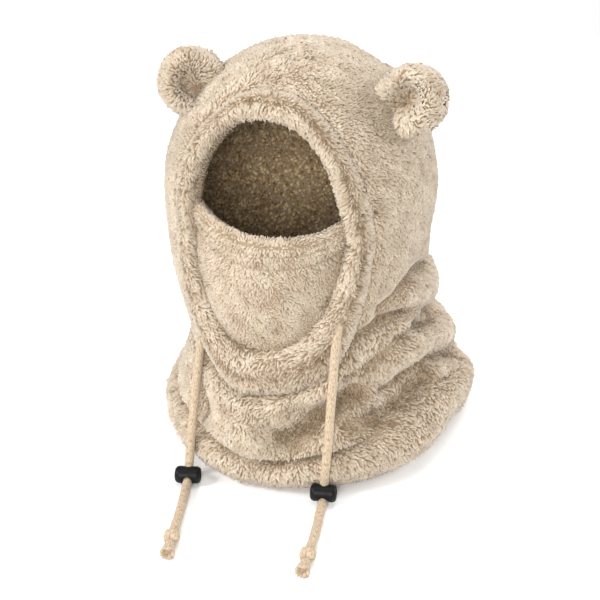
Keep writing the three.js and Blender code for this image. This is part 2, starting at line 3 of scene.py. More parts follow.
import bpy
import numpy as np
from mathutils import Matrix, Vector


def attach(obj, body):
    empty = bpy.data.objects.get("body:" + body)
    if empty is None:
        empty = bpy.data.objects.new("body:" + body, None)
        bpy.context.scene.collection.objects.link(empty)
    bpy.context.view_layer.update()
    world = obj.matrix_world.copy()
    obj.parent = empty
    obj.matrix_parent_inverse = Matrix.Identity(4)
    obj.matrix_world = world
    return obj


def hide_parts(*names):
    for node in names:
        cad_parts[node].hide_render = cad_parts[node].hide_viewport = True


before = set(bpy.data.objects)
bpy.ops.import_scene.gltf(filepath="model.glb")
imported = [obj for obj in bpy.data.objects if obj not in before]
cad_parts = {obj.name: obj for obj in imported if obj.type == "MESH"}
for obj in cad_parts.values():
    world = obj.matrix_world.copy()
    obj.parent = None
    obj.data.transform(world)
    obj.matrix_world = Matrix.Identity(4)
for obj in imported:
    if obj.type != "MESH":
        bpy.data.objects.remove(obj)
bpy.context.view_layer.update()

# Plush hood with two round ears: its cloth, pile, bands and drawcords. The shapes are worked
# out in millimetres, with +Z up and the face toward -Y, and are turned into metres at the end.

MM = 0.001

# Sizes of the hood
CROWN_HEIGHT = 307.0
HEAD_AXIS = (-17.0, 4.0)
HEAD = (104.0, 107.0)
NECK = (104.0, 109.0)
HEM = (121.0, 128.0)
CLOTH = 6.0
FACE_AZIMUTH = 270.0
OPENING = {"half_angle": 32.0, "bottom": 113.0, "top": 276.0, "lean": -6.0}
BAND = {"side_angle": 13.0, "chin_width": 35.0, "top_width": 13.0, "thickness": 16.0, "sunk": 3.0}
CHIN_TILT = 9.0  # how far the chin's edge rises toward the right
LOOP_POWER = {"chin": 2.4, "brow": 3.0}
MASK = {"middle_height": 196.0, "side_rise": 15.0, "cloth": 5.0, "sunk": 6.0, "bulge": 6.0}
MASK_HEM = {"height": 19.0, "extra": 2.5}
MASK_TUCK = {"side": 0.34, "chin": 0.15}  # how far across the band the mask's edge is tucked
EAR = {"radius": 22.0, "thickness": 24.0, "rise": 23.0, "root": 22.0}
HEM_BAND = {"height": 32.0, "thickness": 17.0, "puff": 3.0, "round": 7.0}
FOLD_WIDTH = 13.0
FOLD_DEPTH = 9.0
SEAM_WIDTH = 9.0
SEAM_DEPTH = 7.0
DOME_POWER = 1.06
PILE_BED = 1.6  # how far the pile's roots stand out of the cloth
HEM_BED = 0.9
BAND_SEAM = {"depth": 4.2, "width": 0.14, "place": 1.02}  # groove along the band's outer edge
BAND_TRIM = {"sides": 5.7, "left": 2.3, "top": 1.4, "chin": 0.8}  # how far its inner edge stands back
BAND_THIN = 0.22  # how much thinner the band is at its inner edge
HEM_SEAM = {"depth": 0.5, "width": 0.6}  # shares of the seam's depth and width
CREASE = {"width": 5.0, "depth": 3.8, "hem": 5.5}  # how sharp the bottoms of the folds are
CHIN_EASE = {"azimuth": 268.0, "spread": 28.0, "part": 0.6}  # softer crease under the chin
SHARP_FOLD = {"rise": -0.6, "width": 1.0}  # deeper and narrower folds than this have a crease
CROWN_WRINKLE = {"height": 0.8, "apart": 12.0, "azimuth": 262.0, "spread": 42.0, "share": 0.8}
WRINKLE_STRIP = (6.0, 48.0)  # where they begin and end, in millimetres off the face band
LOOP_REACH = {"power": 0.4, "size": 105.0}  # turns a loop's value into millimetres outside it
CROWN_FADE = 0.1  # how close to the crown's middle the folds fade out
MASK_GROOVES = [(0.52, 1.0, 0.006), (1.0, 0.7, 0.012)]  # place in its hem, depth and spread
MASK_FOOT = 0.02  # how high its foot stands, as a share of the loop's height
MASK_CROWN = 150.0  # degrees of a sine wave that its bulge follows from foot to top

# Locks of pile: how uneven they are, how far they clump and bend, and how round they are shaded
TUFT = {"uneven": 0.2, "clump": 0.2, "bend": 0.12, "round": 0.9, "off_floor": 0.25}
PILE_LESS = {"length": 0.4, "tone": 0.5}  # how much shorter they are in a crease, and how much darker as painted shade
PILE_ROWS = {"apart": 0.87, "jitter": 0.33}
STRANDS = {"around": 5.0, "length": 0.35}  # scale of the cord's strands round it and along it

# Sections: share of the crown height, base size, then the left, right, front and back reach as
# shares of the base size
SECTIONS = [
    (0.00, HEM, 0.8, 1.11, 1.035, 0.97),
    (0.06, HEM, 0.865, 1.165, 1.075, 1.01),
    (0.12, HEM, 0.81, 1.16, 1.045, 0.98),
    (0.18, NECK, 0.87, 1.19, 1.16, 1.08),
    (0.25, NECK, 0.84, 1.1, 1.09, 1.01),
    (0.34, NECK, 0.85, 1.0, 1.07, 0.96),
    (0.44, NECK, 0.92, 0.945, 1.06, 0.97),
    (0.54, HEAD, 0.98, 0.95, 1.035, 1.03),
    (0.64, HEAD, 1.0, 0.98, 0.96, 1.07),
]
SHOULDER = SECTIONS[-1][0]

# Edges: azimuth, share of the crown height at the hood's edge, how far it is tucked in, and
# share of the hem's height at its seam
EDGES = [
    (0, 0.32, 0.6, 1.35),
    (18, 0.275, 0.9, 1.2),
    (60, 0.27, 0.9, 1.1),
    (105, 0.285, 0.8, 1.05),
    (150, 0.305, 0.7, 1.1),
    (195, 0.33, 0.15, 1.0),
    (225, 0.315, 0.3, 1.05),
    (243, 0.272, 0.8, 1.02),
    (262, 0.25, 1.0, 0.83),
    (277, 0.262, 1.0, 0.82),
    (290, 0.3, 1.0, 1.0),
    (303, 0.357, 1.2, 1.2),
    (320, 0.388, 1.4, 1.48),
    (336, 0.392, 1.2, 1.57),
    (348, 0.37, 0.4, 1.52),
]

# Folds: path of (azimuth, share of the crown height), then shares of a fold's width and depth
FOLDS = [
    ([(338, 0.425), (352, 0.405), (375, 0.365), (440, 0.36), (490, 0.38)], 1.1, 0.7),
    ([(325, 0.43), (342, 0.478), (352, 0.465), (368, 0.42), (420, 0.415)], 0.6, -0.85),
    ([(334, 0.3), (350, 0.283), (363, 0.24), (374, 0.203), (390, 0.17), (450, 0.17)], 1.1, 0.6),
    ([(330, 0.335), (345, 0.33), (360, 0.31)], 0.5, -0.5),
    ([(318, 0.23), (346, 0.232), (360, 0.195), (373, 0.153), (384, 0.145), (440, 0.145)], 0.6, -0.9),
    ([(313, 0.188), (326, 0.205), (340, 0.2)], 1.1, -0.9),
    ([(297, 0.175), (309, 0.215), (318, 0.245)], 0.9, 0.5),
    ([(266, 0.185), (282, 0.235), (298, 0.29)], 0.9, 0.7),
    ([(279, 0.15), (293, 0.195), (306, 0.242)], 0.95, -1.0),
    ([(262, 0.13), (284, 0.125), (298, 0.15)], 0.8, 0.35),
    ([(236, 0.255), (246, 0.236), (259, 0.181), (267, 0.145)], 1.1, 0.45),
    ([(196, 0.26), (210, 0.27), (228, 0.24), (238, 0.16)], 0.8, -0.7),
    ([(100, 0.22), (150, 0.23), (172, 0.2)], 1.1, 0.6),
    ([(110, 0.17), (160, 0.155), (186, 0.13)], 0.8, -0.7),
    ([(342, -0.03), (347, 0.06)], 2.4, -1.0),
    ([(345, 0.325), (360, 0.285), (378, 0.25), (430, 0.25)], 0.7, -1.0),
    ([(388, 0.09), (416, 0.08)], 1.3, -0.7),
    ([(318, 0.46), (330, 0.6)], 0.8, -0.2),
]

# Sharp creases between the folds of the neck, whose pile is also darkened as painted shade: path of
# (azimuth, share), breadth and strength
CREASES = [
    ([(279, 0.143), (286, 0.169), (293, 0.204), (299, 0.223), (307, 0.243)], 1.7, 1.5),
    ([(301, 0.168), (315, 0.175), (327, 0.185), (344, 0.194)], 1.5, 1.3),
    ([(252, 0.2), (262, 0.196), (275, 0.21), (286, 0.235)], 1.0, 0.45),
    ([(303, 0.29), (316, 0.315), (330, 0.335), (345, 0.33)], 1.0, 0.7),
]

# Ears: side, azimuth, share of the crown height, rise and turn outward in degrees
EARS = [("left", 193.0, 0.885, 0.6, 24.0), ("right", 348.0, 0.876, 1.0, -12.0)]
HOLLOW_SHIFT = {"left": -10.0, "right": -5.0}  # how far to the left an ear's hollow lies

# Routes of the cords in metres
CORD_DIAMETER = 0.007
CORDS = {
    "left": [
        (-0.0719, -0.0908, 0.0988), (-0.0720, -0.1042, 0.0750), (-0.0718, -0.1125, 0.0580),
        (-0.0720, -0.1180, 0.0430), (-0.0725, -0.1220, 0.0290), (-0.0723, -0.1265, 0.0175),
        (-0.0712, -0.1332, 0.0107), (-0.0684, -0.1468, 0.0041), (-0.0663, -0.1580, 0.0040),
        (-0.0632, -0.1750, 0.0040), (-0.0603, -0.1920, 0.0053), (-0.0582, -0.2050, 0.0055),
    ],
    "right": [
        (0.0370, -0.1050, 0.1147), (0.0373, -0.1110, 0.0950), (0.0376, -0.1190, 0.0730),
        (0.0379, -0.1255, 0.0520), (0.0375, -0.1295, 0.0360), (0.0367, -0.1306, 0.0230),
        (0.0366, -0.1320, 0.0139), (0.0378, -0.1409, 0.0046), (0.0389, -0.1550, 0.0040),
        (0.0404, -0.1680, 0.0040), (0.0417, -0.1840, 0.0053), (0.0422, -0.1980, 0.0055),
    ],
}
LOCK_AFTER = 6  # the lock lies between this point of a route and the next
# The stretch of each cord that comes up out of the band, above the solid's route
LEAD = {
    "left": [(-0.0718, -0.0858, 0.1065)],
    "right": [(0.0376, -0.0965, 0.1345), (0.0372, -0.1012, 0.1250)],
}
LOCK = {"length": 20.0, "diameter": 13.4, "round": 3.6, "bore": 4.4, "recess": 3.5, "recess_radius": 3.6}
KNOT = {"length": 9.0, "diameter": 12.6}
TIP = {"length": 13.0, "diameter": 11.0, "recess": 5.0, "wall": 2.0}
GAP = 0.3

CAMERA = {"sensor": 36.0, "lens": 72.3, "azimuth": 15.0, "elevation": 30.0, "distance": 1.0}
CAMERA_TARGET = (-0.019, 0.005, 0.090)
FLOOR_RADIUS = 1.1
WORLD = {"light": 0.42, "seen": 1.0}

# Lights: place, target, size and power
LIGHTS = {
    "key": ((-1.35, -0.9, 1.25), (0, 0, 0.15), 0.6, 24),
    "front": ((0.2, -1.5, 0.78), (0, 0, 0.13), 0.7, 15.5),
    "top": ((0.1, 0.3, 2.1), (0, 0, 0.1), 1.4, 16),
    "rim": ((1.5, 0.6, 0.9), (0, 0, 0.15), 0.8, 14),
    "back": ((0.3, 1.7, 1.5), (0, 1.2, 0), 1.2, 14),
}


def aim(name, data, place, target):
    """A camera or light at a place, turned toward its target."""
    thing = bpy.data.objects.new(name, data)
    bpy.context.collection.objects.link(thing)
    thing.location = place
    thing.rotation_euler = (Vector(target) - Vector(place)).to_track_quat("-Z", "Y").to_euler()
    return thing


def make_camera():
    data = bpy.data.cameras.new("camera")
    data.sensor_width = CAMERA["sensor"]
    data.lens = CAMERA["lens"]
    a = math.radians(CAMERA["azimuth"])
    e = math.radians(CAMERA["elevation"])
    away = Vector((math.sin(a) * math.cos(e), -math.cos(a) * math.cos(e), math.sin(e)))
    place = Vector(CAMERA_TARGET) + away * CAMERA["distance"]
    bpy.context.scene.camera = aim("camera", data, place, CAMERA_TARGET)


# Shapes


def clamp(value):
    return np.clip(value, 0, 1)


def bell(away):
    return np.exp(-(away**2))


def along(keys, values, at):
    """Smooth curve through a table's rows, flat at its last row."""
    last = len(keys) - 1
    x = np.clip(at, keys[0], keys[last])
    k = np.searchsorted(keys[1:last], x, side="right")
    before = np.maximum(np.arange(last + 1) - 1, 0)
    after = np.minimum(np.arange(last + 1) + 1, last)
    slopes = (values[after] - values[before]) / (keys[after] - keys[before])
    slopes[last] = 0.0
    step = keys[k + 1] - keys[k]
    t = (x - keys[k]) / step
    return (
        (2 * t**3 - 3 * t**2 + 1) * values[k]
        + (t**3 - 2 * t**2 + t) * step * slopes[k]
        + (3 * t**2 - 2 * t**3) * values[k + 1]
        + (t**3 - t**2) * step * slopes[k + 1]
    )


HEIGHTS = np.array([row[0] for row in SECTIONS], float)
REACH = {
    "left": np.array([row[2] * row[1][0] for row in SECTIONS]),
    "right": np.array([row[3] * row[1][0] for row in SECTIONS]),
    "front": np.array([row[4] * row[1][1] for row in SECTIONS]),
    "back": np.array([row[5] * row[1][1] for row in SECTIONS]),
}
ROUND = [(EDGES[-1][0] - 360, *EDGES[-1][1:]), *EDGES]
ROUND += [(EDGES[0][0] + 360, *EDGES[0][1:]), (EDGES[1][0] + 360, *EDGES[1][1:])]
ROUND = np.array(ROUND, float)


def round_table(azimuth, column):
    return along(ROUND[:, 0], ROUND[:, column], np.mod(azimuth, 360.0))


def hood_edge(azimuth):
    return round_table(azimuth, 1)


def tuck(azimuth):
    return round_table(azimuth, 2)


def hem_edge(azimuth):
    return round_table(azimuth, 3) * HEM_BAND["height"] / CROWN_HEIGHT


def plain(azimuth, turn):
    """The smooth body: turn is 0 at the foot, 1 at the shoulder and 2 at the crown."""
    low = np.minimum(turn, 1.0) * SHOULDER
    lift = np.maximum(turn - 1.0, 0.0) * math.pi / 2
    shrink = np.maximum(np.cos(lift), 0.0) ** DOME_POWER
    c = np.cos(np.radians(azimuth))
    s = np.sin(np.radians(azimuth))
    right = along(HEIGHTS, REACH["right"], low)
    left = along(HEIGHTS, REACH["left"], low)
    back = along(HEIGHTS, REACH["back"], low)
    front = along(HEIGHTS, REACH["front"], low)
    x = HEAD_AXIS[0] + c * shrink * np.where(c > 0, right, left)
    y = HEAD_AXIS[1] + s * shrink * np.where(s > 0, back, front)
    share = np.where(turn > 1, SHOULDER + (1 - SHOULDER) * np.sin(lift), low)
    return np.stack([x, y, CROWN_HEIGHT * share], -1)


def turn_at(share):
    above = clamp((share - SHOULDER) / (1 - SHOULDER))
    return np.where(share <= SHOULDER, share / SHOULDER, 1 + np.arcsin(above) * 2 / math.pi)


def share_at(turn):
    above = SHOULDER + (1 - SHOULDER) * np.sin(np.maximum(turn - 1, 0) * math.pi / 2)
    return np.where(turn <= 1, turn * SHOULDER, above)


def from_path(path, azimuth, share):
    """Distance in millimetres from a path of (azimuth, share) points."""
    arc = math.radians(1) * HEAD[0]
    near = np.full(np.shape(azimuth), np.inf)
    for (a0, s0), (a1, s1) in zip(path, path[1:]):
        turns = np.round((azimuth - (a0 + a1) / 2) / 360) * 360
        px = (azimuth - turns - a0) * arc
        pz = (share - s0) * CROWN_HEIGHT
        dx = (a1 - a0) * arc
        dz = (s1 - s0) * CROWN_HEIGHT
        t = clamp((px * dx + pz * dz) / (dx * dx + dz * dz))
        near = np.minimum(near, np.hypot(px - t * dx, pz - t * dz))
    return near


def relief(azimuth, share):
    """How far the cloth stands out of, or in from, the smooth body."""
    seam = (share - hood_edge(azimuth)) * CROWN_HEIGHT
    hem = (share - hem_edge(azimuth)) * CROWN_HEIGHT
    out = -SEAM_DEPTH * tuck(azimuth) * bell(seam / SEAM_WIDTH)
    out = out - HEM_SEAM["depth"] * SEAM_DEPTH * bell(hem / (HEM_SEAM["width"] * SEAM_WIDTH))
    for path, width, rise in FOLDS:
        near = from_path(path, azimuth, share)
        out = out + rise * FOLD_DEPTH * bell(near / (width * FOLD_WIDTH))
    return out


def crease(azimuth, share):
    """How close a place is to a seam or to the bottom of a fold: 0 well away from them, 1 in
    them, and up to 1.5 in the sharpest crease."""
    width = CREASE["width"]
    seam = (share - hood_edge(azimuth)) * CROWN_HEIGHT
    hem = (share - hem_edge(azimuth)) * CROWN_HEIGHT
    chin = bell((np.mod(azimuth, 360) - CHIN_EASE["azimuth"]) / CHIN_EASE["spread"])
    out = np.clip(tuck(azimuth), 0.3, 1) * bell(seam / width) * (1 - CHIN_EASE["part"] * chin)
    out = np.maximum(out, 0.9 * bell(hem / (0.8 * width)))
    sharp = [
        (path, 1.0, -rise)
        for path, fold_width, rise in FOLDS
        if rise < SHARP_FOLD["rise"] and fold_width < SHARP_FOLD["width"]
    ]
    for path, broad, strength in sharp + CREASES:
        near = from_path(path, azimuth, share)
        out = np.maximum(out, strength * bell(near / (broad * width)))
    return out


def wrinkles(azimuth, share):
    """Fine wrinkles over the front of the crown, along the face opening's edge."""
    start, end = WRINKLE_STRIP
    away = (loop_value(azimuth, share, 1.0) ** LOOP_REACH["power"] - 1) * LOOP_REACH["size"]
    place = bell((np.mod(azimuth, 360) - CROWN_WRINKLE["azimuth"]) / CROWN_WRINKLE["spread"])
    place = place * clamp((share - CROWN_WRINKLE["share"]) / 0.08)
    place = place * clamp((away - start) / 6) * clamp((end - away) / 10)
    wave = np.sin(2 * math.pi * away / CROWN_WRINKLE["apart"] + np.radians(azimuth * 3))
    return CROWN_WRINKLE["height"] * place * wave


def unit(vectors):
    return vectors / np.maximum(np.linalg.norm(vectors, axis=-1, keepdims=True), 1e-9)


def normal(azimuth, turn):
    east = plain(azimuth + 0.5, turn) - plain(azimuth - 0.5, turn)
    up = plain(azimuth, np.minimum(turn + 0.004, 2)) - plain(azimuth, np.maximum(turn - 0.004, 0))
    out = unit(np.cross(east, up))
    return np.where((turn > 1.995)[..., None], np.array([0.0, 0.0, 1.0]), out)


def plain_skin(azimuth, share, out):
    turn = turn_at(share)
    return plain(azimuth, turn) + normal(azimuth, turn) * np.asarray(out)[..., None]


def waves(points, wavelength, seed, count=7):
    """Smooth noise of about unit spread in space."""
    rng = np.random.default_rng(seed)
    directions = unit(rng.normal(size=(count, 3)))
    phases = rng.uniform(0, 2 * math.pi, count)
    lengths = wavelength * rng.uniform(0.7, 1.4, count)
    angles = points @ (directions / lengths[:, None]).T * 2 * math.pi + phases
    return np.sin(angles).sum(-1) / math.sqrt(count / 2)


def oval(angle, half_angle, bottom, top):
    """Azimuth and height share on an oval round the face."""
    c = np.cos(np.radians(angle))
    s = np.sin(np.radians(angle))
    power = 2 / np.where(s > 0, LOOP_POWER["brow"], LOOP_POWER["chin"])
    across = np.sign(c) * np.abs(c) ** power
    height = np.sign(s) * np.abs(s) ** power
    droop = np.maximum(-height, 0) * across * CHIN_TILT
    azimuth = FACE_AZIMUTH + half_angle * across + OPENING["lean"] * np.maximum(height, 0)
    share = ((bottom + top) / 2 + (top - bottom) / 2 * height + droop) / CROWN_HEIGHT
    return azimuth, share


def inner_loop(angle):
    return oval(angle, OPENING["half_angle"], OPENING["bottom"], OPENING["top"])


def outer_loop(angle):
    return oval(
        angle,
        OPENING["half_angle"] + BAND["side_angle"],
        OPENING["bottom"] - BAND["chin_width"],
        OPENING["top"] + BAND["top_width"],
    )


# Surfaces: each takes u round the piece and v along it, both from 0 to 1


def loop_value(azimuth, share, part):
    """Below 1 inside the loop that lies the given part of the way across the band."""
    bottom = OPENING["bottom"] - part * BAND["chin_width"]
    top = OPENING["top"] + part * BAND["top_width"]
    half_angle = OPENING["half_angle"] + part * BAND["side_angle"]
    height = (2 * share * CROWN_HEIGHT - bottom - top) / (top - bottom)
    across = (np.mod(azimuth, 360.0) - FACE_AZIMUTH - OPENING["lean"] * clamp(height)) / half_angle
    droop = CHIN_TILT * clamp(-height) * np.clip(across, -1, 1) * 2 / (top - bottom)
    height = height - droop
    power = np.where(height > 0, LOOP_POWER["brow"], LOOP_POWER["chin"])
    return np.abs(across) ** power + np.abs(height) ** power


def band_groove(azimuth, share):
    """How deep the cloth is drawn in along the band's outer edge."""
    away = loop_value(azimuth, share, 1.0) - BAND_SEAM["place"]
    return BAND_SEAM["depth"] * bell(away / BAND_SEAM["width"])


def crown_fade(share):
    return clamp((2 - turn_at(share)) / CROWN_FADE)


def hood_share(u, v):
    azimuth = 360.0 * u
    low = turn_at(hood_edge(azimuth))
    return azimuth, share_at(low + (2 - low) * clamp(v))


def hood_outside(u, v):
    azimuth, share = hood_share(u, v)
    drawn = relief(azimuth, share) - band_groove(azimuth, share) + wrinkles(azimuth, share)
    drawn = drawn - CREASE["depth"] * crease(azimuth, share)
    return plain_skin(azimuth, share, drawn * crown_fade(share) + PILE_BED)


def hood_inside(u, v):
    azimuth, share = hood_share(u, v)
    return plain_skin(azimuth, share, np.minimum(relief(azimuth, share), 0) * crown_fade(share) - CLOTH)


def neck_share(u, v):
    azimuth = 360.0 * u
    low = hem_edge(azimuth)
    return azimuth, low + (hood_edge(azimuth) - low) * clamp(v)


def neck_outside(u, v):
    """The neck's outside, with deeper creases low down, where they run on into the hem's."""
    azimuth, share = neck_share(u, v)
    drawn = relief(azimuth, share) - band_groove(azimuth, share)
    low = clamp(1 - v / 0.25)
    depth = CREASE["depth"] + (CREASE["hem"] - CREASE["depth"]) * low
    return plain_skin(azimuth, share, drawn - depth * crease(azimuth, share) + PILE_BED)


def neck_inside(u, v):
    azimuth, share = neck_share(u, v)
    return plain_skin(azimuth, share, np.minimum(relief(azimuth, share), 0) - CLOTH)


# Section of the hem: place along it, height, how far out, and whether it is its inner side
HEM_PROFILE = np.array(
    [
        (0.00, 0.0, -HEM_BAND["round"], 0),
        (0.10, 0.1, -HEM_BAND["round"] * 0.35, 0),
        (0.22, 0.3, HEM_BAND["puff"] * 0.7, 0),
        (0.36, 0.55, HEM_BAND["puff"], 0),
        (0.50, 0.8, HEM_BAND["puff"] * 0.4, 0),
        (0.60, 1.0, -0.6, 0),
        (0.72, 1.0, -HEM_BAND["thickness"], 1),
        (0.84, 0.5, -HEM_BAND["thickness"] - HEM_BAND["puff"], 1),
        (0.94, 0.0, -HEM_BAND["thickness"] - HEM_BAND["round"] * 0.3, 1),
        (1.00, 0.0, -HEM_BAND["round"], 0),
    ]
)


def hem_section(v, column):
    return np.interp(v, HEM_PROFILE[:, 0], HEM_PROFILE[:, column])


def hem_share(u, v):
    azimuth = 360.0 * u
    return azimuth, hem_edge(azimuth) * hem_section(v, 1)


def hem_surface(u, v):
    v = clamp(v)
    azimuth, share = hem_share(u, v)
    inner = hem_section(v, 3)
    fold = relief(azimuth, share)
    fold = fold + (np.minimum(fold, 0) - fold) * inner
    fold = fold - CREASE["hem"] * crease(azimuth, share) * (1 - inner) * (hem_section(v, 1) > 0.5)
    reach = hem_section(v, 2) + fold
    reach = reach + HEM_BED * (1 - 2 * inner)
    away = np.stack([np.cos(np.radians(azimuth)), np.sin(np.radians(azimuth)), 0 * azimuth], -1)
    return plain(azimuth, turn_at(share)) + away * reach[..., None]


def band_surface(u, v):
    """The padded band: u goes round the face, v round its section from inside to outside."""
    angle = 360.0 * u
    turn = 2 * math.pi * v
    a0, s0 = inner_loop(angle)
    a1, s1 = outer_loop(angle)
    inner = plain_skin(a0, s0, 0 * a0 - BAND["sunk"])
    outer = plain_skin(a1, s1, 0 * a1 - BAND["sunk"])
    crown = plain_skin((a0 + a1) / 2, (s0 + s1) / 2, 0 * a0 - BAND["sunk"])
    high = np.sin(np.radians(angle))
    trim = BAND_TRIM["sides"] - BAND_TRIM["left"] * np.cos(np.radians(angle))
    trim = trim + (BAND_TRIM["top"] - trim) * np.maximum(high, 0) ** 2
    trim = trim * (1 + BAND_TRIM["chin"] * np.minimum(high, 0))
    inner = inner + unit(outer - inner) * trim[..., None]
    middle = (inner + outer) / 2
    half = (outer - inner) / 2
    size = np.linalg.norm(half, axis=-1, keepdims=True)
    half = half * (size + PILE_BED * (1 - np.cos(turn))[..., None] / 2) / size
    up = normal((a0 + a1) / 2, turn_at((s0 + s1) / 2)) * (BAND["thickness"] / 2 + PILE_BED)
    rise = np.sin(turn)[..., None]
    thin = 1 - BAND_THIN * (1 + np.cos(turn))[..., None] / 2
    return middle - half * np.cos(turn)[..., None] + up * rise * thin + (crown - middle) * rise**2


def loop_heights(side, chin):
    """Height shares of a loop's bottom and top, and of the foot of a mask that fills it. The
    loop lies the given parts of the way across the band."""
    bottom = (OPENING["bottom"] - chin * BAND["chin_width"]) / CROWN_HEIGHT
    top = (OPENING["top"] + side * BAND["top_width"]) / CROWN_HEIGHT
    return bottom, top, bottom + MASK_FOOT * (top - bottom)


def mask_surface(u, v, side=1):
    """The mask panel: u goes across it, v up to its top edge."""
    across = 2 * clamp(u) - 1
    top = (MASK["middle_height"] + MASK["side_rise"] * across**2) / CROWN_HEIGHT
    _, _, bottom = loop_heights(0.5, 0.5)
    edge_bottom, edge_top, foot = loop_heights(MASK_TUCK["side"], MASK_TUCK["chin"])
    share = foot + (top - foot) * clamp(v)
    height = (2 * share - edge_top - edge_bottom) / (edge_top - edge_bottom)
    width = (1 - np.abs(height) ** LOOP_POWER["chin"]) ** (1 / LOOP_POWER["chin"])
    reach = (OPENING["half_angle"] + MASK_TUCK["side"] * BAND["side_angle"]) * width
    down = (top - share) / (MASK_HEM["height"] / CROWN_HEIGHT)
    below = clamp(down)
    roll = np.sin(math.pi * below)
    groove = sum(depth * np.exp(-((down - place) ** 2) / spread) for place, depth, spread in MASK_GROOVES)
    crown = (1 - across**2) * np.sin(clamp((share - bottom) / (top - bottom)) * math.radians(MASK_CROWN))
    edge = np.sqrt(clamp(below * 6))
    half = MASK["cloth"] / 2 + MASK_HEM["extra"] * roll - groove
    depth = -MASK["sunk"] + MASK["bulge"] * crown + side * half * edge
    azimuth = FACE_AZIMUTH + across * reach + OPENING["lean"] * np.maximum(height, 0)
    return plain_skin(azimuth, share, depth)


def mask_back(u, v):
    return mask_surface(u, v, side=-1)


# Section of an ear: place along it, share of its radius, and share of its thickness to the front
EAR_PROFILE = np.array(
    [
        (0.00, 0.0, -0.42),
        (0.12, 0.5, -0.4),
        (0.24, 0.84, -0.26),
        (0.36, 1.0, 0.02),
        (0.46, 0.93, 0.32),
        (0.56, 0.74, 0.5),
        (0.68, 0.52, 0.38),
        (0.80, 0.34, 0.12),
        (0.90, 0.2, 0.0),
        (1.00, 0.0, 0.0),
    ]
)


def ear_surface(ear):
    """The ear's surface: u goes round it, v from the middle of its back to its hollow."""
    side, azimuth, height, rise, turned = ear
    turn = turn_at(np.array([height]))
    place = np.array([azimuth])
    anchor = plain(place, turn)[0]
    up = normal(place, turn)[0]
    across = unit(plain(place, turn + 0.01)[0] - anchor)
    angle = math.radians(turned)
    across = (
        across * math.cos(angle)
        + np.cross(up, across) * math.sin(angle)
        + up * (up @ across) * (1 - math.cos(angle))
    )
    front = unit(np.cross(across, up))
    if front[1] > 0:
        across = -across
        front = -front
    heart = anchor + up * (EAR["rise"] * rise - 1.5)
    aside = across * HOLLOW_SHIFT[side] * np.sign(across[0])

    def surface(u, v):
        out = 0.5 * PILE_BED
        angle = 2 * math.pi * u
        v = clamp(v)
        low = np.maximum(-np.sin(angle), 0)
        share = along(EAR_PROFILE[:, 0], EAR_PROFILE[:, 1], v)
        depth = along(EAR_PROFILE[:, 0], EAR_PROFILE[:, 2], v) * EAR["thickness"]
        depth = depth * np.where(depth > 0, 1 - 0.45 * low * low, 1)
        swell = out * clamp(v / 0.24) * np.clip((1 - v) / 0.5, -1, 1)
        radius = share * EAR["radius"] + np.where(v < 0.6, swell, -0.6 * out * share)
        depth = depth + out * np.clip((v - 0.24) * 6, -1, 1)
        dip = clamp((v - 0.46) / 0.3) * clamp(1 - share) ** 1.5
        return (
            heart
            + aside * dip[..., None]
            + across * (radius * np.cos(angle))[..., None]
            + up * (radius * np.sin(angle) - low * share * EAR["root"])[..., None]
            + front * depth[..., None]
        )

    return surface, up


# Meshes


BARE_CLOTH_SHADE = {"tip": 0.3, "tone": 0.4}  # tone of the cloth between the locks of pile, darker than the locks: painted shade


def mesh_object(name, points, triangles, material, attributes=None, normals=None):
    """A new object from arrays: points in millimetres and rows of three indices."""
    mesh = bpy.data.meshes.new(name)
    mesh.vertices.add(len(points))
    mesh.vertices.foreach_set("co", (np.asarray(points) * MM).astype(np.float32).ravel())
    mesh.loops.add(3 * len(triangles))
    mesh.loops.foreach_set("vertex_index", np.asarray(triangles, np.int32).ravel())
    mesh.polygons.add(len(triangles))
    mesh.polygons.foreach_set("loop_start", np.arange(0, 3 * len(triangles), 3, dtype=np.int32))
    mesh.update(calc_edges=True)
    mesh.polygons.foreach_set("use_smooth", np.ones(len(triangles), bool))
    for key, values in (attributes or BARE_CLOTH_SHADE).items():
        layer = mesh.attributes.new(key, "FLOAT", "POINT")
        layer.data.foreach_set("value", np.broadcast_to(np.float32(values), len(points)).copy())
    if normals is not None:
        mesh.normals_split_custom_set(normals.tolist())
    mesh.materials.append(material)
    thing = bpy.data.objects.new(name, mesh)
    bpy.context.collection.objects.link(thing)
    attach(thing, "root")
    return thing


def welded_object(name, points, triangles, material, attributes=None):
    """A new object whose coinciding points are joined, without the triangles that this empties."""
    _, first, index = np.unique(np.round(points, 4), axis=0, return_index=True, return_inverse=True)
    triangles = index.reshape(-1)[triangles]
    a, b, c = triangles.T
    triangles = triangles[(a != b) & (b != c) & (c != a)]
    used, triangles = np.unique(triangles, return_inverse=True)
    kept = first[used]
    attributes = {key: values[kept] for key, values in (attributes or {}).items()}
    return mesh_object(name, points[kept], triangles.reshape(-1, 3), material, attributes)


def halves(quads):
    return np.concatenate([quads[:, [0, 1, 2]], quads[:, [0, 2, 3]]])


def grid_triangles(rows, columns, closed=False, start=0):
    """Triangles of a grid whose rows are rings; closed joins its last row to its first."""
    j, i = np.meshgrid(np.arange(rows if closed else rows - 1), np.arange(columns), indexing="ij")
    low = j * columns
    high = ((j + 1) % rows) * columns
    i2 = (i + 1) % columns
    return halves(np.stack([low + i, low + i2, high + i2, high + i], -1).reshape(-1, 4) + start)


def sample(surface, us, vs):
    v, u = np.meshgrid(vs, us, indexing="ij")
    return surface(u.ravel(), v.ravel())


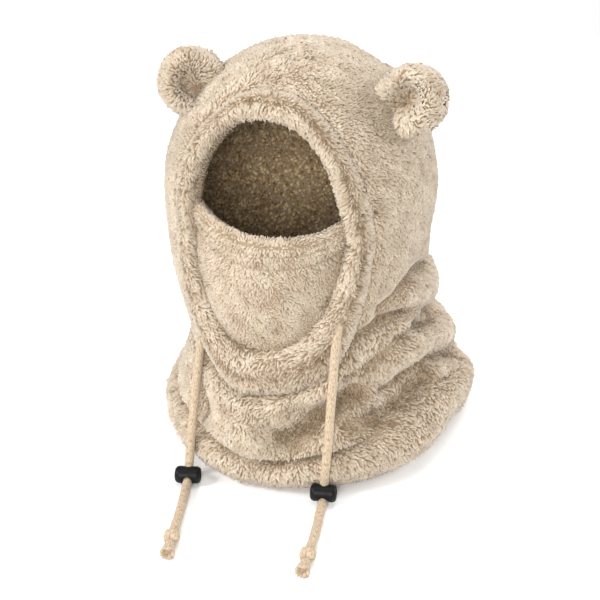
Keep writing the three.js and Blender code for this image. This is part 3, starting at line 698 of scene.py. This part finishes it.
def shell(name, outside, inside, columns, rows, open_face=None):
    """Closed shell between two surfaces of the same piece. open_face marks cells that are left
    out, in a piece whose top row is a single point and has no rim."""
    us = np.arange(columns) / columns
    vs = np.linspace(0, 1, rows)
    points = np.concatenate([sample(outside, us, vs), sample(inside, us, vs)])
    half = rows * columns
    j, i = np.meshgrid(np.arange(rows - 1), np.arange(columns), indexing="ij")
    keep = ~open_face((i + 0.5) / columns, (vs[j] + vs[j + 1]) / 2) if open_face else np.ones(j.shape, bool)
    i2 = (i + 1) % columns
    cell = np.stack([j * columns + i, j * columns + i2, (j + 1) * columns + i2, (j + 1) * columns + i], -1)
    outer = cell[keep]
    edges = {}
    for quad in outer.tolist():
        for a, b in zip(quad, quad[1:] + quad[:1]):
            if (b, a) in edges:
                del edges[(b, a)]
            else:
                edges[(a, b)] = True
    rim_rows = rows - 1 if open_face else rows
    rim = np.array([(b, a) for a, b in edges if min(a, b) // columns < rim_rows])
    sides = np.stack([rim[:, 0], rim[:, 1], rim[:, 1] + half, rim[:, 0] + half], -1)
    return welded_object(name, points, halves(np.concatenate([outer, outer[:, ::-1] + half, sides])), PLUSH)


def frame_of(surface, u, v):
    """Points of a surface with their normals, and the unit vectors along v."""
    step_u = 0.001
    step_v = 0.004
    east = unit(surface(u + step_u, v) - surface(u - step_u, v))
    up = surface(u, np.minimum(v + step_v, 1)) - surface(u, np.maximum(v - step_v, 0))
    out = unit(np.cross(east, up))
    return surface(u, v), out, np.cross(out, east)


def scatter(surface, spacing, seed, v_range=(0.0, 1.0), u_range=(0.0, 1.0)):
    """Places on a surface, spacing millimetres apart, in jittered rows."""
    rng = np.random.default_rng(seed)
    jitter = PILE_ROWS["jitter"]
    us = np.linspace(*u_range, 121)
    vs = np.linspace(*v_range, 81)
    points = sample(surface, us, vs).reshape(len(vs), len(us), 3)
    steps = np.linalg.norm(np.diff(points, axis=0), axis=-1).mean(1)
    lengths = np.concatenate([[0], np.cumsum(steps)])
    count = max(int(round(lengths[-1] / (spacing * PILE_ROWS["apart"]))), 1)
    rows = np.interp((np.arange(count) + 0.5) / count * lengths[-1], lengths, vs)
    found_u = []
    found_v = []
    for row in rows:
        line = surface(us, np.full(len(us), row))
        walk = np.concatenate([[0], np.cumsum(np.linalg.norm(np.diff(line, axis=0), axis=-1))])
        number = max(int(round(walk[-1] / spacing)), 1)
        places = (np.arange(number) + rng.uniform() + rng.uniform(-jitter, jitter, number)) / number
        found_u.append(np.interp(np.mod(places, 1.0) * walk[-1], walk, us))
        found_v.append(row + rng.uniform(-jitter, jitter, number) * (v_range[1] - v_range[0]) / count)
    return np.concatenate(found_u), np.clip(np.concatenate(found_v), *v_range)


def tufts(name, roots, out, lean, size, material, seed, shade, speckle):
    """Locks of pile that lie along lean: size is their length, width and lift in millimetres."""
    rng = np.random.default_rng(seed)
    count = len(roots)
    spread = np.exp(TUFT["uneven"] * rng.normal(size=(count, 3)))
    length, width, lift = (np.broadcast_to(size, (count, 3)) * spread).T[:, :, None]
    across = unit(np.cross(out, lean))
    clump = across * (TUFT["clump"] * length * waves(roots, 9.0, seed + 1)[:, None])
    bend = across * (TUFT["bend"] * length * rng.normal(size=(count, 1)))
    base = roots - 0.5 * out
    middle = roots + 0.55 * length * lean + lift * out + 0.5 * clump
    tip = roots + length * lean + 0.75 * lift * out + clump + bend
    points = np.stack(
        [
            base - across * 0.34 * width,
            base + across * 0.34 * width,
            base + out * 0.5 * width - lean * 0.3 * width,
            middle - across * 0.5 * width - out * 0.3 * width,
            middle + across * 0.5 * width - out * 0.3 * width,
            middle + out * 0.34 * width,
            tip,
        ],
        1,
    )
    points[..., 2] = np.maximum(points[..., 2], TUFT["off_floor"])
    side = TUFT["round"] * across
    normals = np.stack(
        [out - side, out + side, out, out - side, out + side, out + 0.1 * lean, out + 0.4 * lean], 1
    )
    block = np.array(
        [
            (2, 1, 0),
            (1, 3, 0), (4, 3, 1), (4, 6, 3),
            (2, 4, 1), (5, 4, 2),
            (0, 5, 2), (3, 5, 0),
            (5, 6, 4), (3, 6, 5),
        ]
    )
    underside = slice(1, 4)  # the block's triangles that face the cloth
    corners = normals[:, block]
    corners[:, underside] = (0.5 * lean - out)[:, None, None]
    triangles = (block[None] + 7 * np.arange(count)[:, None, None]).reshape(-1, 3)
    height = np.tile([0.0, 0.0, 0.05, 0.55, 0.55, 0.8, 1.0], (count, 1))
    tone = 0.5 + speckle * rng.normal(size=count) + 0.08 * waves(roots, 16.0, seed + 2) + shade
    values = {"tip": height.ravel(), "tone": np.repeat(clamp(tone), 7)}
    return mesh_object(
        name, points.reshape(-1, 3), triangles, material, values, unit(corners).reshape(-1, 3)
    )


def laid(out, flow, points, seed, broad=16.0, fine=14.0, loose=14.0):
    """Direction of the pile: the flow laid on the surface, with swirls and loose locks."""
    rng = np.random.default_rng(seed + 5)
    lean = unit(flow - out * (flow * out).sum(1, keepdims=True))
    turn = broad * waves(points, 60.0, seed) + fine * waves(points, 18.0, seed + 3)
    turn = np.radians(turn + loose * rng.normal(size=len(points)))[:, None]
    return lean * np.cos(turn) + np.cross(out, lean) * np.sin(turn)


def vectors(x, y, z):
    return np.stack(np.broadcast_arrays(x, y, z), -1).astype(float)


# Materials


def linear(red, green, blue):
    values = [c / 255 for c in (red, green, blue)]
    return tuple(c / 12.92 if c <= 0.04045 else ((c + 0.055) / 1.055) ** 2.4 for c in values) + (1.0,)


def new_material(name):
    material = bpy.data.materials.new(name)
    material.use_nodes = True
    return material, material.node_tree


def ramp(tree, value, stops):
    """Colours of a value: each stop is its place and its red, green and blue from 0 to 255."""
    node = tree.nodes.new("ShaderNodeValToRGB")
    elements = node.color_ramp.elements
    while len(elements) < len(stops):
        elements.new(0.5)
    for element, (position, colour) in zip(elements, stops):
        element.position = position
        element.color = linear(*colour)
    tree.links.new(value, node.inputs["Fac"])
    return node.outputs["Color"]


def noise(tree, scale, detail=3.0, place=None):
    """Noise in the object's own space, or over the given place."""
    node = tree.nodes.new("ShaderNodeTexNoise")
    node.inputs["Scale"].default_value = scale
    node.inputs["Detail"].default_value = detail
    if place is None:
        place = tree.nodes.new("ShaderNodeTexCoord").outputs["Object"]
    tree.links.new(place, node.inputs["Vector"])
    return node.outputs["Fac"]


def multiply(tree, first, second):
    node = tree.nodes.new("ShaderNodeMix")
    node.data_type = "RGBA"
    node.blend_type = "MULTIPLY"
    node.inputs["Factor"].default_value = 1.0
    tree.links.new(first, node.inputs["A"])
    tree.links.new(second, node.inputs["B"])
    return node.outputs["Result"]


def attribute(tree, name):
    node = tree.nodes.new("ShaderNodeAttribute")
    node.attribute_name = name
    return node.outputs["Fac"]


def dress(material, colour, settings, height=None, strength=0.0, distance=0.0):
    """Gives a material its colour, the shader's settings and a bump of the given height."""
    tree = material.node_tree
    shader = tree.nodes["Principled BSDF"]
    tree.links.new(colour, shader.inputs["Base Color"])
    for socket, value in settings.items():
        shader.inputs[socket].default_value = value
    if height:
        bump = tree.nodes.new("ShaderNodeBump")
        bump.inputs["Strength"].default_value = strength
        bump.inputs["Distance"].default_value = distance
        tree.links.new(height, bump.inputs["Height"])
        tree.links.new(bump.outputs["Normal"], shader.inputs["Normal"])
    return material


def plush(name, deep, middle, light, hollow, dark):
    """Pile that is dark at its roots and light at its tips, painted shade down among the locks, and whose
    tone differs from lock to lock.
    Locks down in a crease or hollow are darkened toward the hollow colour, which is painted shade."""
    material, tree = new_material(name)
    depth = ramp(tree, attribute(tree, "tip"), [(0.0, deep), (0.45, middle), (1.0, light)])
    tone_and_shade = ramp(tree, attribute(tree, "tone"), [(0.0, hollow), (0.15, dark), (1.0, (255, 254, 252))])
    mottle = ramp(tree, noise(tree, 95.0), [(0.35, (238, 232, 226)), (0.7, (255, 255, 255))])
    colour = multiply(tree, multiply(tree, depth, tone_and_shade), mottle)
    settings = {"Roughness": 0.92, "Specular IOR Level": 0.2, "Sheen Weight": 0.25, "Sheen Roughness": 0.6}
    return dress(material, colour, settings, noise(tree, 1400.0, 2.0), 0.35, 0.0006)


def cord_cloth(name):
    """Round cord: fine lengthwise strands with a soft twist."""
    material, tree = new_material(name)
    join = tree.nodes.new("ShaderNodeCombineXYZ")
    tree.links.new(attribute(tree, "around"), join.inputs["X"])
    tree.links.new(attribute(tree, "length"), join.inputs["Y"])
    strands = noise(tree, 1.0, place=join.outputs["Vector"])
    colour = ramp(tree, strands, [(0.3, (140, 116, 88)), (0.5, (190, 170, 144)), (0.7, (206, 189, 166))])
    settings = {"Roughness": 0.85, "Specular IOR Level": 0.25, "Sheen Weight": 0.15}
    return dress(material, colour, settings, strands, 0.5, 0.0004)


def lock_plastic(name):
    material, tree = new_material(name)
    colour = ramp(tree, noise(tree, 900.0), [(0.3, (4, 5, 5)), (0.7, (12, 13, 12))])
    settings = {"Roughness": 0.45, "Specular IOR Level": 0.22}
    return dress(material, colour, settings, noise(tree, 2600.0), 0.12, 0.0002)


def floor_paint(name):
    material, tree = new_material(name)
    colour = ramp(tree, noise(tree, 6.0), [(0.0, (250, 250, 251)), (1.0, (254, 254, 254))])
    return dress(material, colour, {"Roughness": 0.9})


make_camera()

PLUSH = plush(
    "beige plush",
    deep=(154, 128, 95),
    middle=(213, 197, 173),
    light=(237, 229, 216),
    hollow=(160, 148, 128),
    dark=(213, 207, 200),
)
# The same plush on the inside, with browner, darker roots and a darker low end to its tones than the
# outside: painted shade inside the hood
SHADED_LINING = plush(
    "plush lining",
    deep=(138, 108, 64),
    middle=(228, 202, 156),
    light=(254, 236, 198),
    hollow=(156, 138, 112),
    dark=(176, 163, 146),
)
CORD = cord_cloth("braided cord")
PLASTIC = lock_plastic("black plastic")


# The cloth pieces


def in_opening(u, v):
    """Whether a place on the hood is inside the band's middle line."""
    azimuth, share = hood_share(u, v)
    return loop_value(azimuth, share, 0.5) < 1


def wrap(surface, us, vs, name, closed=False):
    """A piece whose surface goes round in u, and in v too if it is closed."""
    return welded_object(name, sample(surface, us, vs), grid_triangles(len(vs), len(us), closed), PLUSH)


def make_mask():
    us = np.linspace(0, 1, 40)
    vs = np.linspace(0, 1, 44)
    front = sample(mask_surface, us, vs).reshape(len(vs), len(us), 3)
    back = sample(mask_back, us, vs).reshape(len(vs), len(us), 3)[:, ::-1]
    ring = np.concatenate([front, back], 1)
    low = (ring[0] + ring[0][::-1]) / 2
    high = (ring[-1] + ring[-1][::-1]) / 2
    points = np.concatenate([low, ring.reshape(-1, 3), high])
    return welded_object("mask_plush", points, grid_triangles(len(vs) + 2, ring.shape[1]), PLUSH)


hood = shell("hood_plush", hood_outside, hood_inside, 160, 72, in_opening)
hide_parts("hood_shell")
neck = shell("neck_plush", neck_outside, neck_inside, 200, 34)
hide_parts("neck_gaiter")
hem = wrap(hem_surface, np.arange(200) / 200, np.arange(26) / 26, "hem_plush", closed=True)
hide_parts("hem_band")
band = wrap(band_surface, np.arange(180) / 180, (np.arange(18) / 18)[::-1], "band_plush", closed=True)
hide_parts("face_band")
mask = make_mask()
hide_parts("face_mask")

ear_pieces = {}
for ear in EARS:
    surface, ear_up = ear_surface(ear)
    thing = wrap(surface, np.arange(48) / 48, np.linspace(0, 1, 40), f"ear_plush_{ear[0]}")
    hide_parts(f"ear_{ear[0]}")
    ear_pieces[ear[0]] = (thing, surface, ear_up)


# The pile


def pile(
    name, surface, seed, spacing, size, flow_of,
    material=PLUSH, facing=1, keep=None, short=None, speckle=0.14, **ranges,
):
    """Locks of pile over a surface. flow_of gives their direction from the place, and short
    how much shorter they are there and how much darker, which is painted shade, from 0 to 1."""
    u, v = scatter(surface, spacing, seed, **ranges)
    if keep is not None:
        kept = keep(u, v)
        u, v = u[kept], v[kept]
    roots, out, up = frame_of(surface, u, v)
    out = facing * out
    lean = laid(out, flow_of(u, v, roots, up), roots, seed)
    less = clamp(short(u, v)) if short else np.zeros(len(roots))
    grow = (1 + 0.1 * waves(roots, 30.0, seed + 9)) * (1 - PILE_LESS["length"] * less)
    size = np.asarray(size) * grow[:, None]
    return tufts(name, roots, out, lean, size, material, seed, -PILE_LESS["tone"] * less, speckle)


def hood_flow(u, v, roots, up):
    """Down the sides, back over the crown's left and to the right over the rest of it."""
    high = np.clip((roots[:, 2] - 120) / 120, 0, 1.3)
    left = high * clamp((3 - roots[:, 0]) / 60)
    return vectors(0.7 * high - 0.4 * left, 0.3 * high + 0.7 * left, 0.4 * high - 1.0)


def off_band(u, v):
    return loop_value(*hood_share(u, v), 0.86) > 1


# How much shorter and darker the pile is near a seam or crease; the darkening is painted shade
def hood_crease(u, v):
    return crease(*hood_share(u, v))


def neck_crease(u, v):
    return crease(*neck_share(u, v))


def hem_crease(u, v):
    return crease(*hem_share(u, v))


def band_edge(u, v):
    """The band's inner edge and the parting along its crest, where its pile is shorter and darker; the
    darkening is painted shade beside the mask and down in the parting.
    """
    edge = 0.75 * clamp((0.12 - v) / 0.12)
    return np.maximum(edge, 0.8 * np.exp(-(((v - 0.27) / 0.035) ** 2)))


def mask_edge(u, v):
    """The mask's sides and foot, which lie in the band's shade."""
    sides = clamp((np.abs(2 * u - 1) - 0.62) / 0.38)
    foot = clamp((0.22 - v) / 0.22)
    return 0.9 * np.maximum(sides * (0.5 + 0.5 * u), foot)


def neck_flow(u, v, roots, up):
    right = clamp((roots[:, 0] + 60) / 140)
    return vectors(-0.35 + 0.8 * right, 0.0, -1.0)


def band_flow(u, v, roots, up):
    """Down the band, parted along its crest."""
    parting = np.tanh((v - 0.27) / 0.05) * (1 - 0.85 * clamp((0.12 - v) / 0.12))
    return vectors(0.0, 0.0, -1.0) + 0.8 * parting[:, None] * up


def mask_flow(u, v, roots, up):
    """Down the mask, and up over its top edge."""
    over = clamp((v - 0.94) / 0.03)
    return vectors(1.1 * (u - 0.45), 0.0, 2 * over - 1)


def lining_flow(u, v, roots, up):
    """Every way at once, a little downward."""
    turn = 2 * math.pi * np.random.default_rng(77).uniform(size=len(u))
    return vectors(np.cos(turn), 0.3 * np.sin(turn), np.sin(turn) - 0.3)


# Length, width and lift of a lock of pile
HOOD_TUFT = (3.3, 1.6, 1.5)
NECK_TUFT = (4.4, 2.0, 1.8)
BACK_TUFT = (6.2, 3.2, 1.7)
pile("hood_pile_right", hood_outside, 11, 1.7, HOOD_TUFT, hood_flow, keep=off_band, short=hood_crease,
     u_range=(0.735, 1.07), v_range=(0.0, 0.995))
pile("hood_pile_left", hood_outside, 12, 1.75, HOOD_TUFT, hood_flow, keep=off_band, short=hood_crease,
     u_range=(0.48, 0.735), v_range=(0.0, 0.995))
pile("hood_pile_back", hood_outside, 13, 3.25, BACK_TUFT, hood_flow, short=hood_crease,
     u_range=(0.07, 0.48), v_range=(0.0, 0.995))
pile("neck_pile", neck_outside, 21, 2.0, NECK_TUFT, neck_flow, short=neck_crease, u_range=(0.46, 1.08))
pile("neck_pile_back", neck_outside, 22, 3.1, BACK_TUFT, neck_flow, short=neck_crease, u_range=(0.08, 0.46))
pile("hem_pile", hem_surface, 31, 2.05, NECK_TUFT, neck_flow, short=hem_crease,
     u_range=(0.46, 1.08), v_range=(0.05, 0.68))
pile("hem_pile_back", hem_surface, 32, 3.1, BACK_TUFT, neck_flow, short=hem_crease,
     u_range=(0.08, 0.46), v_range=(0.05, 0.68))
pile("band_pile", band_surface, 41, 1.85, (4.2, 1.9, 1.8), band_flow, facing=-1, short=band_edge,
     v_range=(-0.2, 0.56))
pile("mask_pile", mask_surface, 51, 1.5, (3.0, 1.5, 1.3), mask_flow, short=mask_edge)


def off_lining_edge(u, v):
    return loop_value(*hood_share(u, v), 0.6) > 1


pile("mask_pile_back", mask_back, 52, 2.1, (3.0, 1.9, 1.2), mask_flow, facing=-1, v_range=(0.8, 1.0))
pile("lining_pile_back", hood_inside, 71, 2.8, (3.3, 2.4, 1.8), lining_flow, material=SHADED_LINING, facing=-1,
     speckle=0.3, u_range=(0.0, 0.5), v_range=(0.0, 0.995))
pile("lining_pile_front", hood_inside, 72, 3.6, (4.2, 3.2, 1.9), lining_flow, material=SHADED_LINING, facing=-1,
     keep=off_lining_edge, speckle=0.3, u_range=(0.5, 1.0), v_range=(0.0, 0.995))


def ear_flow(u, v, roots, up):
    """Outward from the ear's middle over its rim."""
    return roots - roots.mean(0)


# Shorter and darker pile down in an ear's hollow; the darkening is painted shade
def ear_hollow(u, v):
    return 0.45 * clamp((v - 0.66) / 0.2)


for side, (_, surface, ear_up) in ear_pieces.items():
    _, out, _ = frame_of(surface, np.array([0.25]), np.array([0.36]))
    facing = 1 if out[0] @ ear_up > 0 else -1
    pile(f"ear_pile_{side}", surface, 61, 1.8, (4.8, 2.2, 2.2), ear_flow, facing=facing, short=ear_hollow,
         v_range=(0.02, 0.99))


# Cords, locks, knots and cut ends


def smooth_route(points, per_span=8):
    """Points along the centripetal curve through the route, as the solids' curve runs."""
    route = [np.array(p) for p in points]
    route = [2 * route[0] - route[1], *route, 2 * route[-1] - route[-2]]
    places = []
    for p0, p1, p2, p3 in zip(route, route[1:], route[2:], route[3:]):
        d0 = max(np.linalg.norm(p1 - p0) ** 0.5, 1e-6)
        d1 = max(np.linalg.norm(p2 - p1) ** 0.5, 1e-6)
        d2 = max(np.linalg.norm(p3 - p2) ** 0.5, 1e-6)
        t1 = ((p1 - p0) / d0 - (p2 - p0) / (d0 + d1) + (p2 - p1) / d1) * d1
        t2 = ((p2 - p1) / d1 - (p3 - p1) / (d1 + d2) + (p3 - p2) / d2) * d1
        for t in np.arange(per_span) / per_span:
            places.append(
                p1 * (2 * t**3 - 3 * t**2 + 1)
                + t1 * (t**3 - 2 * t**2 + t)
                + p2 * (3 * t**2 - 2 * t**3)
                + t2 * (t**3 - t**2)
            )
    places.append(route[-2])
    return np.array(places)


def ring(place, side, other, radius, angles):
    return place + np.outer(radius * np.cos(angles), side) + np.outer(radius * np.sin(angles), other)


def tube(name, path, radius, material, sides=28, ribs=14, rib_depth=0.03, twist=3.0):
    """Closed tube along a path in metres, with fine ribs that wind slowly round it."""
    path = path / MM
    tangents = unit(np.gradient(path, axis=0))
    walk = np.concatenate([[0], np.cumsum(np.linalg.norm(np.diff(path, axis=0), axis=1))])
    side = unit(np.cross(tangents[0], [0.0, 0.0, 1.0]) + np.array([1e-6, 0, 0]))
    rings = []
    angles = 2 * math.pi * np.arange(sides) / sides
    for k, (place, tangent) in enumerate(zip(path, tangents)):
        side = unit(side - tangent * (side @ tangent))
        r = radius / MM * (1 - rib_depth + rib_depth * np.sin(ribs * angles + twist * walk[k] / 10))
        rings.append(ring(place, side, np.cross(tangent, side), r, angles))
    points = np.concatenate([rings[0].mean(0)[None], *rings, rings[-1].mean(0)[None]])
    i = np.arange(sides)
    i2 = (i + 1) % sides
    end = 1 + (len(rings) - 1) * sides
    triangles = [
        grid_triangles(len(rings), sides, start=1),
        np.stack([np.zeros(sides, int), 1 + i2, 1 + i], -1),
        np.stack([np.full(sides, len(points) - 1), end + i, end + i2], -1),
    ]
    along_it = np.repeat(walk * STRANDS["length"], sides)
    values = {
        "around": np.concatenate([[0], np.tile(around_it(angles), len(rings)), [0]]),
        "length": np.concatenate([[0], along_it, along_it[-1:]]),
    }
    return mesh_object(name, points, np.concatenate(triangles), material, values)


def around_it(angles):
    """The place of a strand round the cord, the same on both sides of its lowest line."""
    return np.abs(angles - math.pi) * STRANDS["around"]


def turned(name, profile, place, axis, material, sides=40, shape=None):
    """Closed turned form round an axis: the profile is radius and height, from low to high."""
    axis = unit(np.asarray(axis, float))
    side = unit(np.cross([0.0, 0.0, 1.0], axis) + np.array([1e-6, 0, 0]))
    other = np.cross(axis, side)
    angles = 2 * math.pi * np.arange(sides) / sides
    rings = []
    for k, (radius, height) in enumerate(profile):
        r = np.full(sides, float(radius))
        h = np.full(sides, float(height))
        if shape:
            r, h = shape(k, r, h, angles)
        rings.append(ring(place, side, other, r, angles) + h[:, None] * axis)
    values = {
        "around": np.tile(around_it(angles), len(rings)),
        "length": np.repeat([h * STRANDS["length"] for _, h in profile], sides),
    }
    return welded_object(name, np.concatenate(rings), grid_triangles(len(rings), sides), material, values)


def make_lock(side, centre, through):
    """Barrel with soft shoulders, a cross bore for the cord and a recess in its right end."""
    r = LOCK["diameter"] / 2
    h = LOCK["length"] / 2
    soft = LOCK["round"]
    profile = [(0, -h)]
    for t in np.linspace(0, math.pi / 2, 7):
        profile.append((r - soft + soft * math.sin(t), -h + soft - soft * math.cos(t)))
    for t in np.linspace(-0.55, 0.55, 11):
        waist = 0.06 * math.exp(-((t * h / 3.2) ** 2))
        profile.append((r * (1 - waist), t * h))
    for t in np.linspace(0, math.pi / 2, 7):
        profile.append((r - 0.8 * soft + 0.8 * soft * math.cos(t), h - soft + soft * math.sin(t)))
    deep = h - LOCK["recess"]
    profile += [(LOCK["recess_radius"], h - 0.1), (LOCK["recess_radius"] - 0.3, deep + 0.4)]
    profile += [(LOCK["recess_radius"] - 0.8, deep), (0, deep)]
    sideways = unit(np.cross([0.0, 0.0, 1.0], through))
    lock = turned(f"cord_lock_barrel_{side}", profile, centre, sideways, PLASTIC, sides=64)
    bore_profile = [(0, -r - 2), (LOCK["bore"], -r - 2), (LOCK["bore"], r + 2), (0, r + 2)]
    bore = turned(f"bore_{side}", bore_profile, centre, through, PLASTIC, sides=48)
    cut = lock.modifiers.new("bore", "BOOLEAN")
    cut.operation = "DIFFERENCE"
    cut.object = bore
    cut.solver = "EXACT"
    depsgraph = bpy.context.evaluated_depsgraph_get()
    finished = bpy.data.meshes.new_from_object(lock.evaluated_get(depsgraph))
    lock.modifiers.clear()
    lock.data = finished
    bpy.data.objects.remove(bore)
    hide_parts(f"cord_lock_{side}")
    return lock


def make_knot(side, centre, heading):
    """Round knot with the cord's turns wound slantwise over it."""
    r = KNOT["diameter"] / 2
    h = KNOT["length"] / 2
    profile = [(0, -h)]
    for t in np.linspace(-1, 1, 21):
        profile.append((3.9 + (r - 3.9) * math.sqrt(max(1 - abs(t) ** 2.6, 0)), h * t))
    profile.append((0, h))

    def wound(k, radius, height, angles):
        groove = np.abs(np.sin(angles + 0.35 * k)) ** 0.5
        return radius * (0.93 + 0.07 * groove) - 0.25, height

    knot = turned(f"cord_knot_wound_{side}", profile, centre, heading, CORD, sides=48, shape=wound)
    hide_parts(f"cord_knot_{side}")
    return knot


def make_tip(side, centre, heading):
    """Cut end that flares to a ragged rim round a hollow mouth."""
    r = TIP["diameter"] / 2
    h = TIP["length"] / 2
    inside = h - TIP["recess"]
    profile = [(0, -h), (2.8, -h), (3.5, -0.7 * h), (3.7, -0.3 * h), (4.1, 0.1 * h), (4.8, 0.55 * h)]
    profile += [(r, 0.92 * h), (r - 0.6, h), (r - TIP["wall"], 0.93 * h), (2.4, inside), (0, inside)]

    def frayed(k, radius, height, angles):
        share = min(k / 6, 1.0)
        rib = 0.06 * share * np.sin(9 * angles + 0.3 * k) + 0.04 * share * np.sin(23 * angles)
        ragged = 0.7 * share**4 * (np.sin(5 * angles + 1) + 0.6 * np.sin(13 * angles)) * (4 <= k <= 8)
        return radius * (1 + rib), height + np.minimum(ragged, 0.5)

    tip = turned(f"cord_tip_frayed_{side}", profile, centre, heading, CORD, sides=60, shape=frayed)
    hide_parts(f"cord_tip_{side}")
    return tip


for side, points in CORDS.items():
    path = smooth_route(LEAD[side] + points)
    route = np.array(points) / MM
    free = tube(f"cord_braid_{side}", path, CORD_DIAMETER / 2, CORD)
    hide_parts(f"cord_{side}")
    before, after = route[LOCK_AFTER], route[LOCK_AFTER + 1]
    lock = make_lock(side, (before + after) / 2, unit(after - before))
    heading = path[-1] - path[-2]
    heading = unit(np.array([heading[0], heading[1], 0.0]))
    end = np.array([route[-1][0], route[-1][1], 0.0])
    up = np.array([0.0, 0.0, 1.0])
    knot_centre = end + heading * (KNOT["length"] / 2 + GAP) + up * (KNOT["diameter"] / 2 + GAP)
    tip_reach = KNOT["length"] + TIP["length"] / 2 + 2 * GAP
    tip_centre = end + heading * tip_reach + up * (TIP["diameter"] / 2 + GAP)
    knot = make_knot(side, knot_centre, heading)
    tip = make_tip(side, tip_centre, heading)


# Stage


def area_light(name, place, target, size, power):
    data = bpy.data.lights.new(name, "AREA")
    data.shape = "DISK"
    data.size = size
    data.energy = power
    aim(name, data, place, target)


def background(tree, strength):
    node = tree.nodes.new("ShaderNodeBackground")
    node.inputs["Color"].default_value = (1.0, 1.0, 1.0, 1.0)
    node.inputs["Strength"].default_value = strength
    return node.outputs["Background"]


bpy.ops.mesh.primitive_circle_add(vertices=96, radius=FLOOR_RADIUS, fill_type="NGON")
floor = bpy.context.object
floor.name = "floor"
floor.data.materials.append(floor_paint("floor"))
for name, (place, target, size, power) in LIGHTS.items():
    area_light(name, place, target, size, power)

# A white world, dimmer as a light than it looks
world = bpy.data.worlds.new("studio")
bpy.context.scene.world = world
world.use_nodes = True
studio = world.node_tree
shown = studio.nodes.new("ShaderNodeMixShader")
studio.links.new(studio.nodes.new("ShaderNodeLightPath").outputs["Is Camera Ray"], shown.inputs["Fac"])
studio.links.new(background(studio, WORLD["light"]), shown.inputs[1])
studio.links.new(background(studio, WORLD["seen"]), shown.inputs[2])
studio.links.new(shown.outputs["Shader"], studio.nodes["World Output"].inputs["Surface"])
bpy.context.scene.view_settings.view_transform = "Standard"
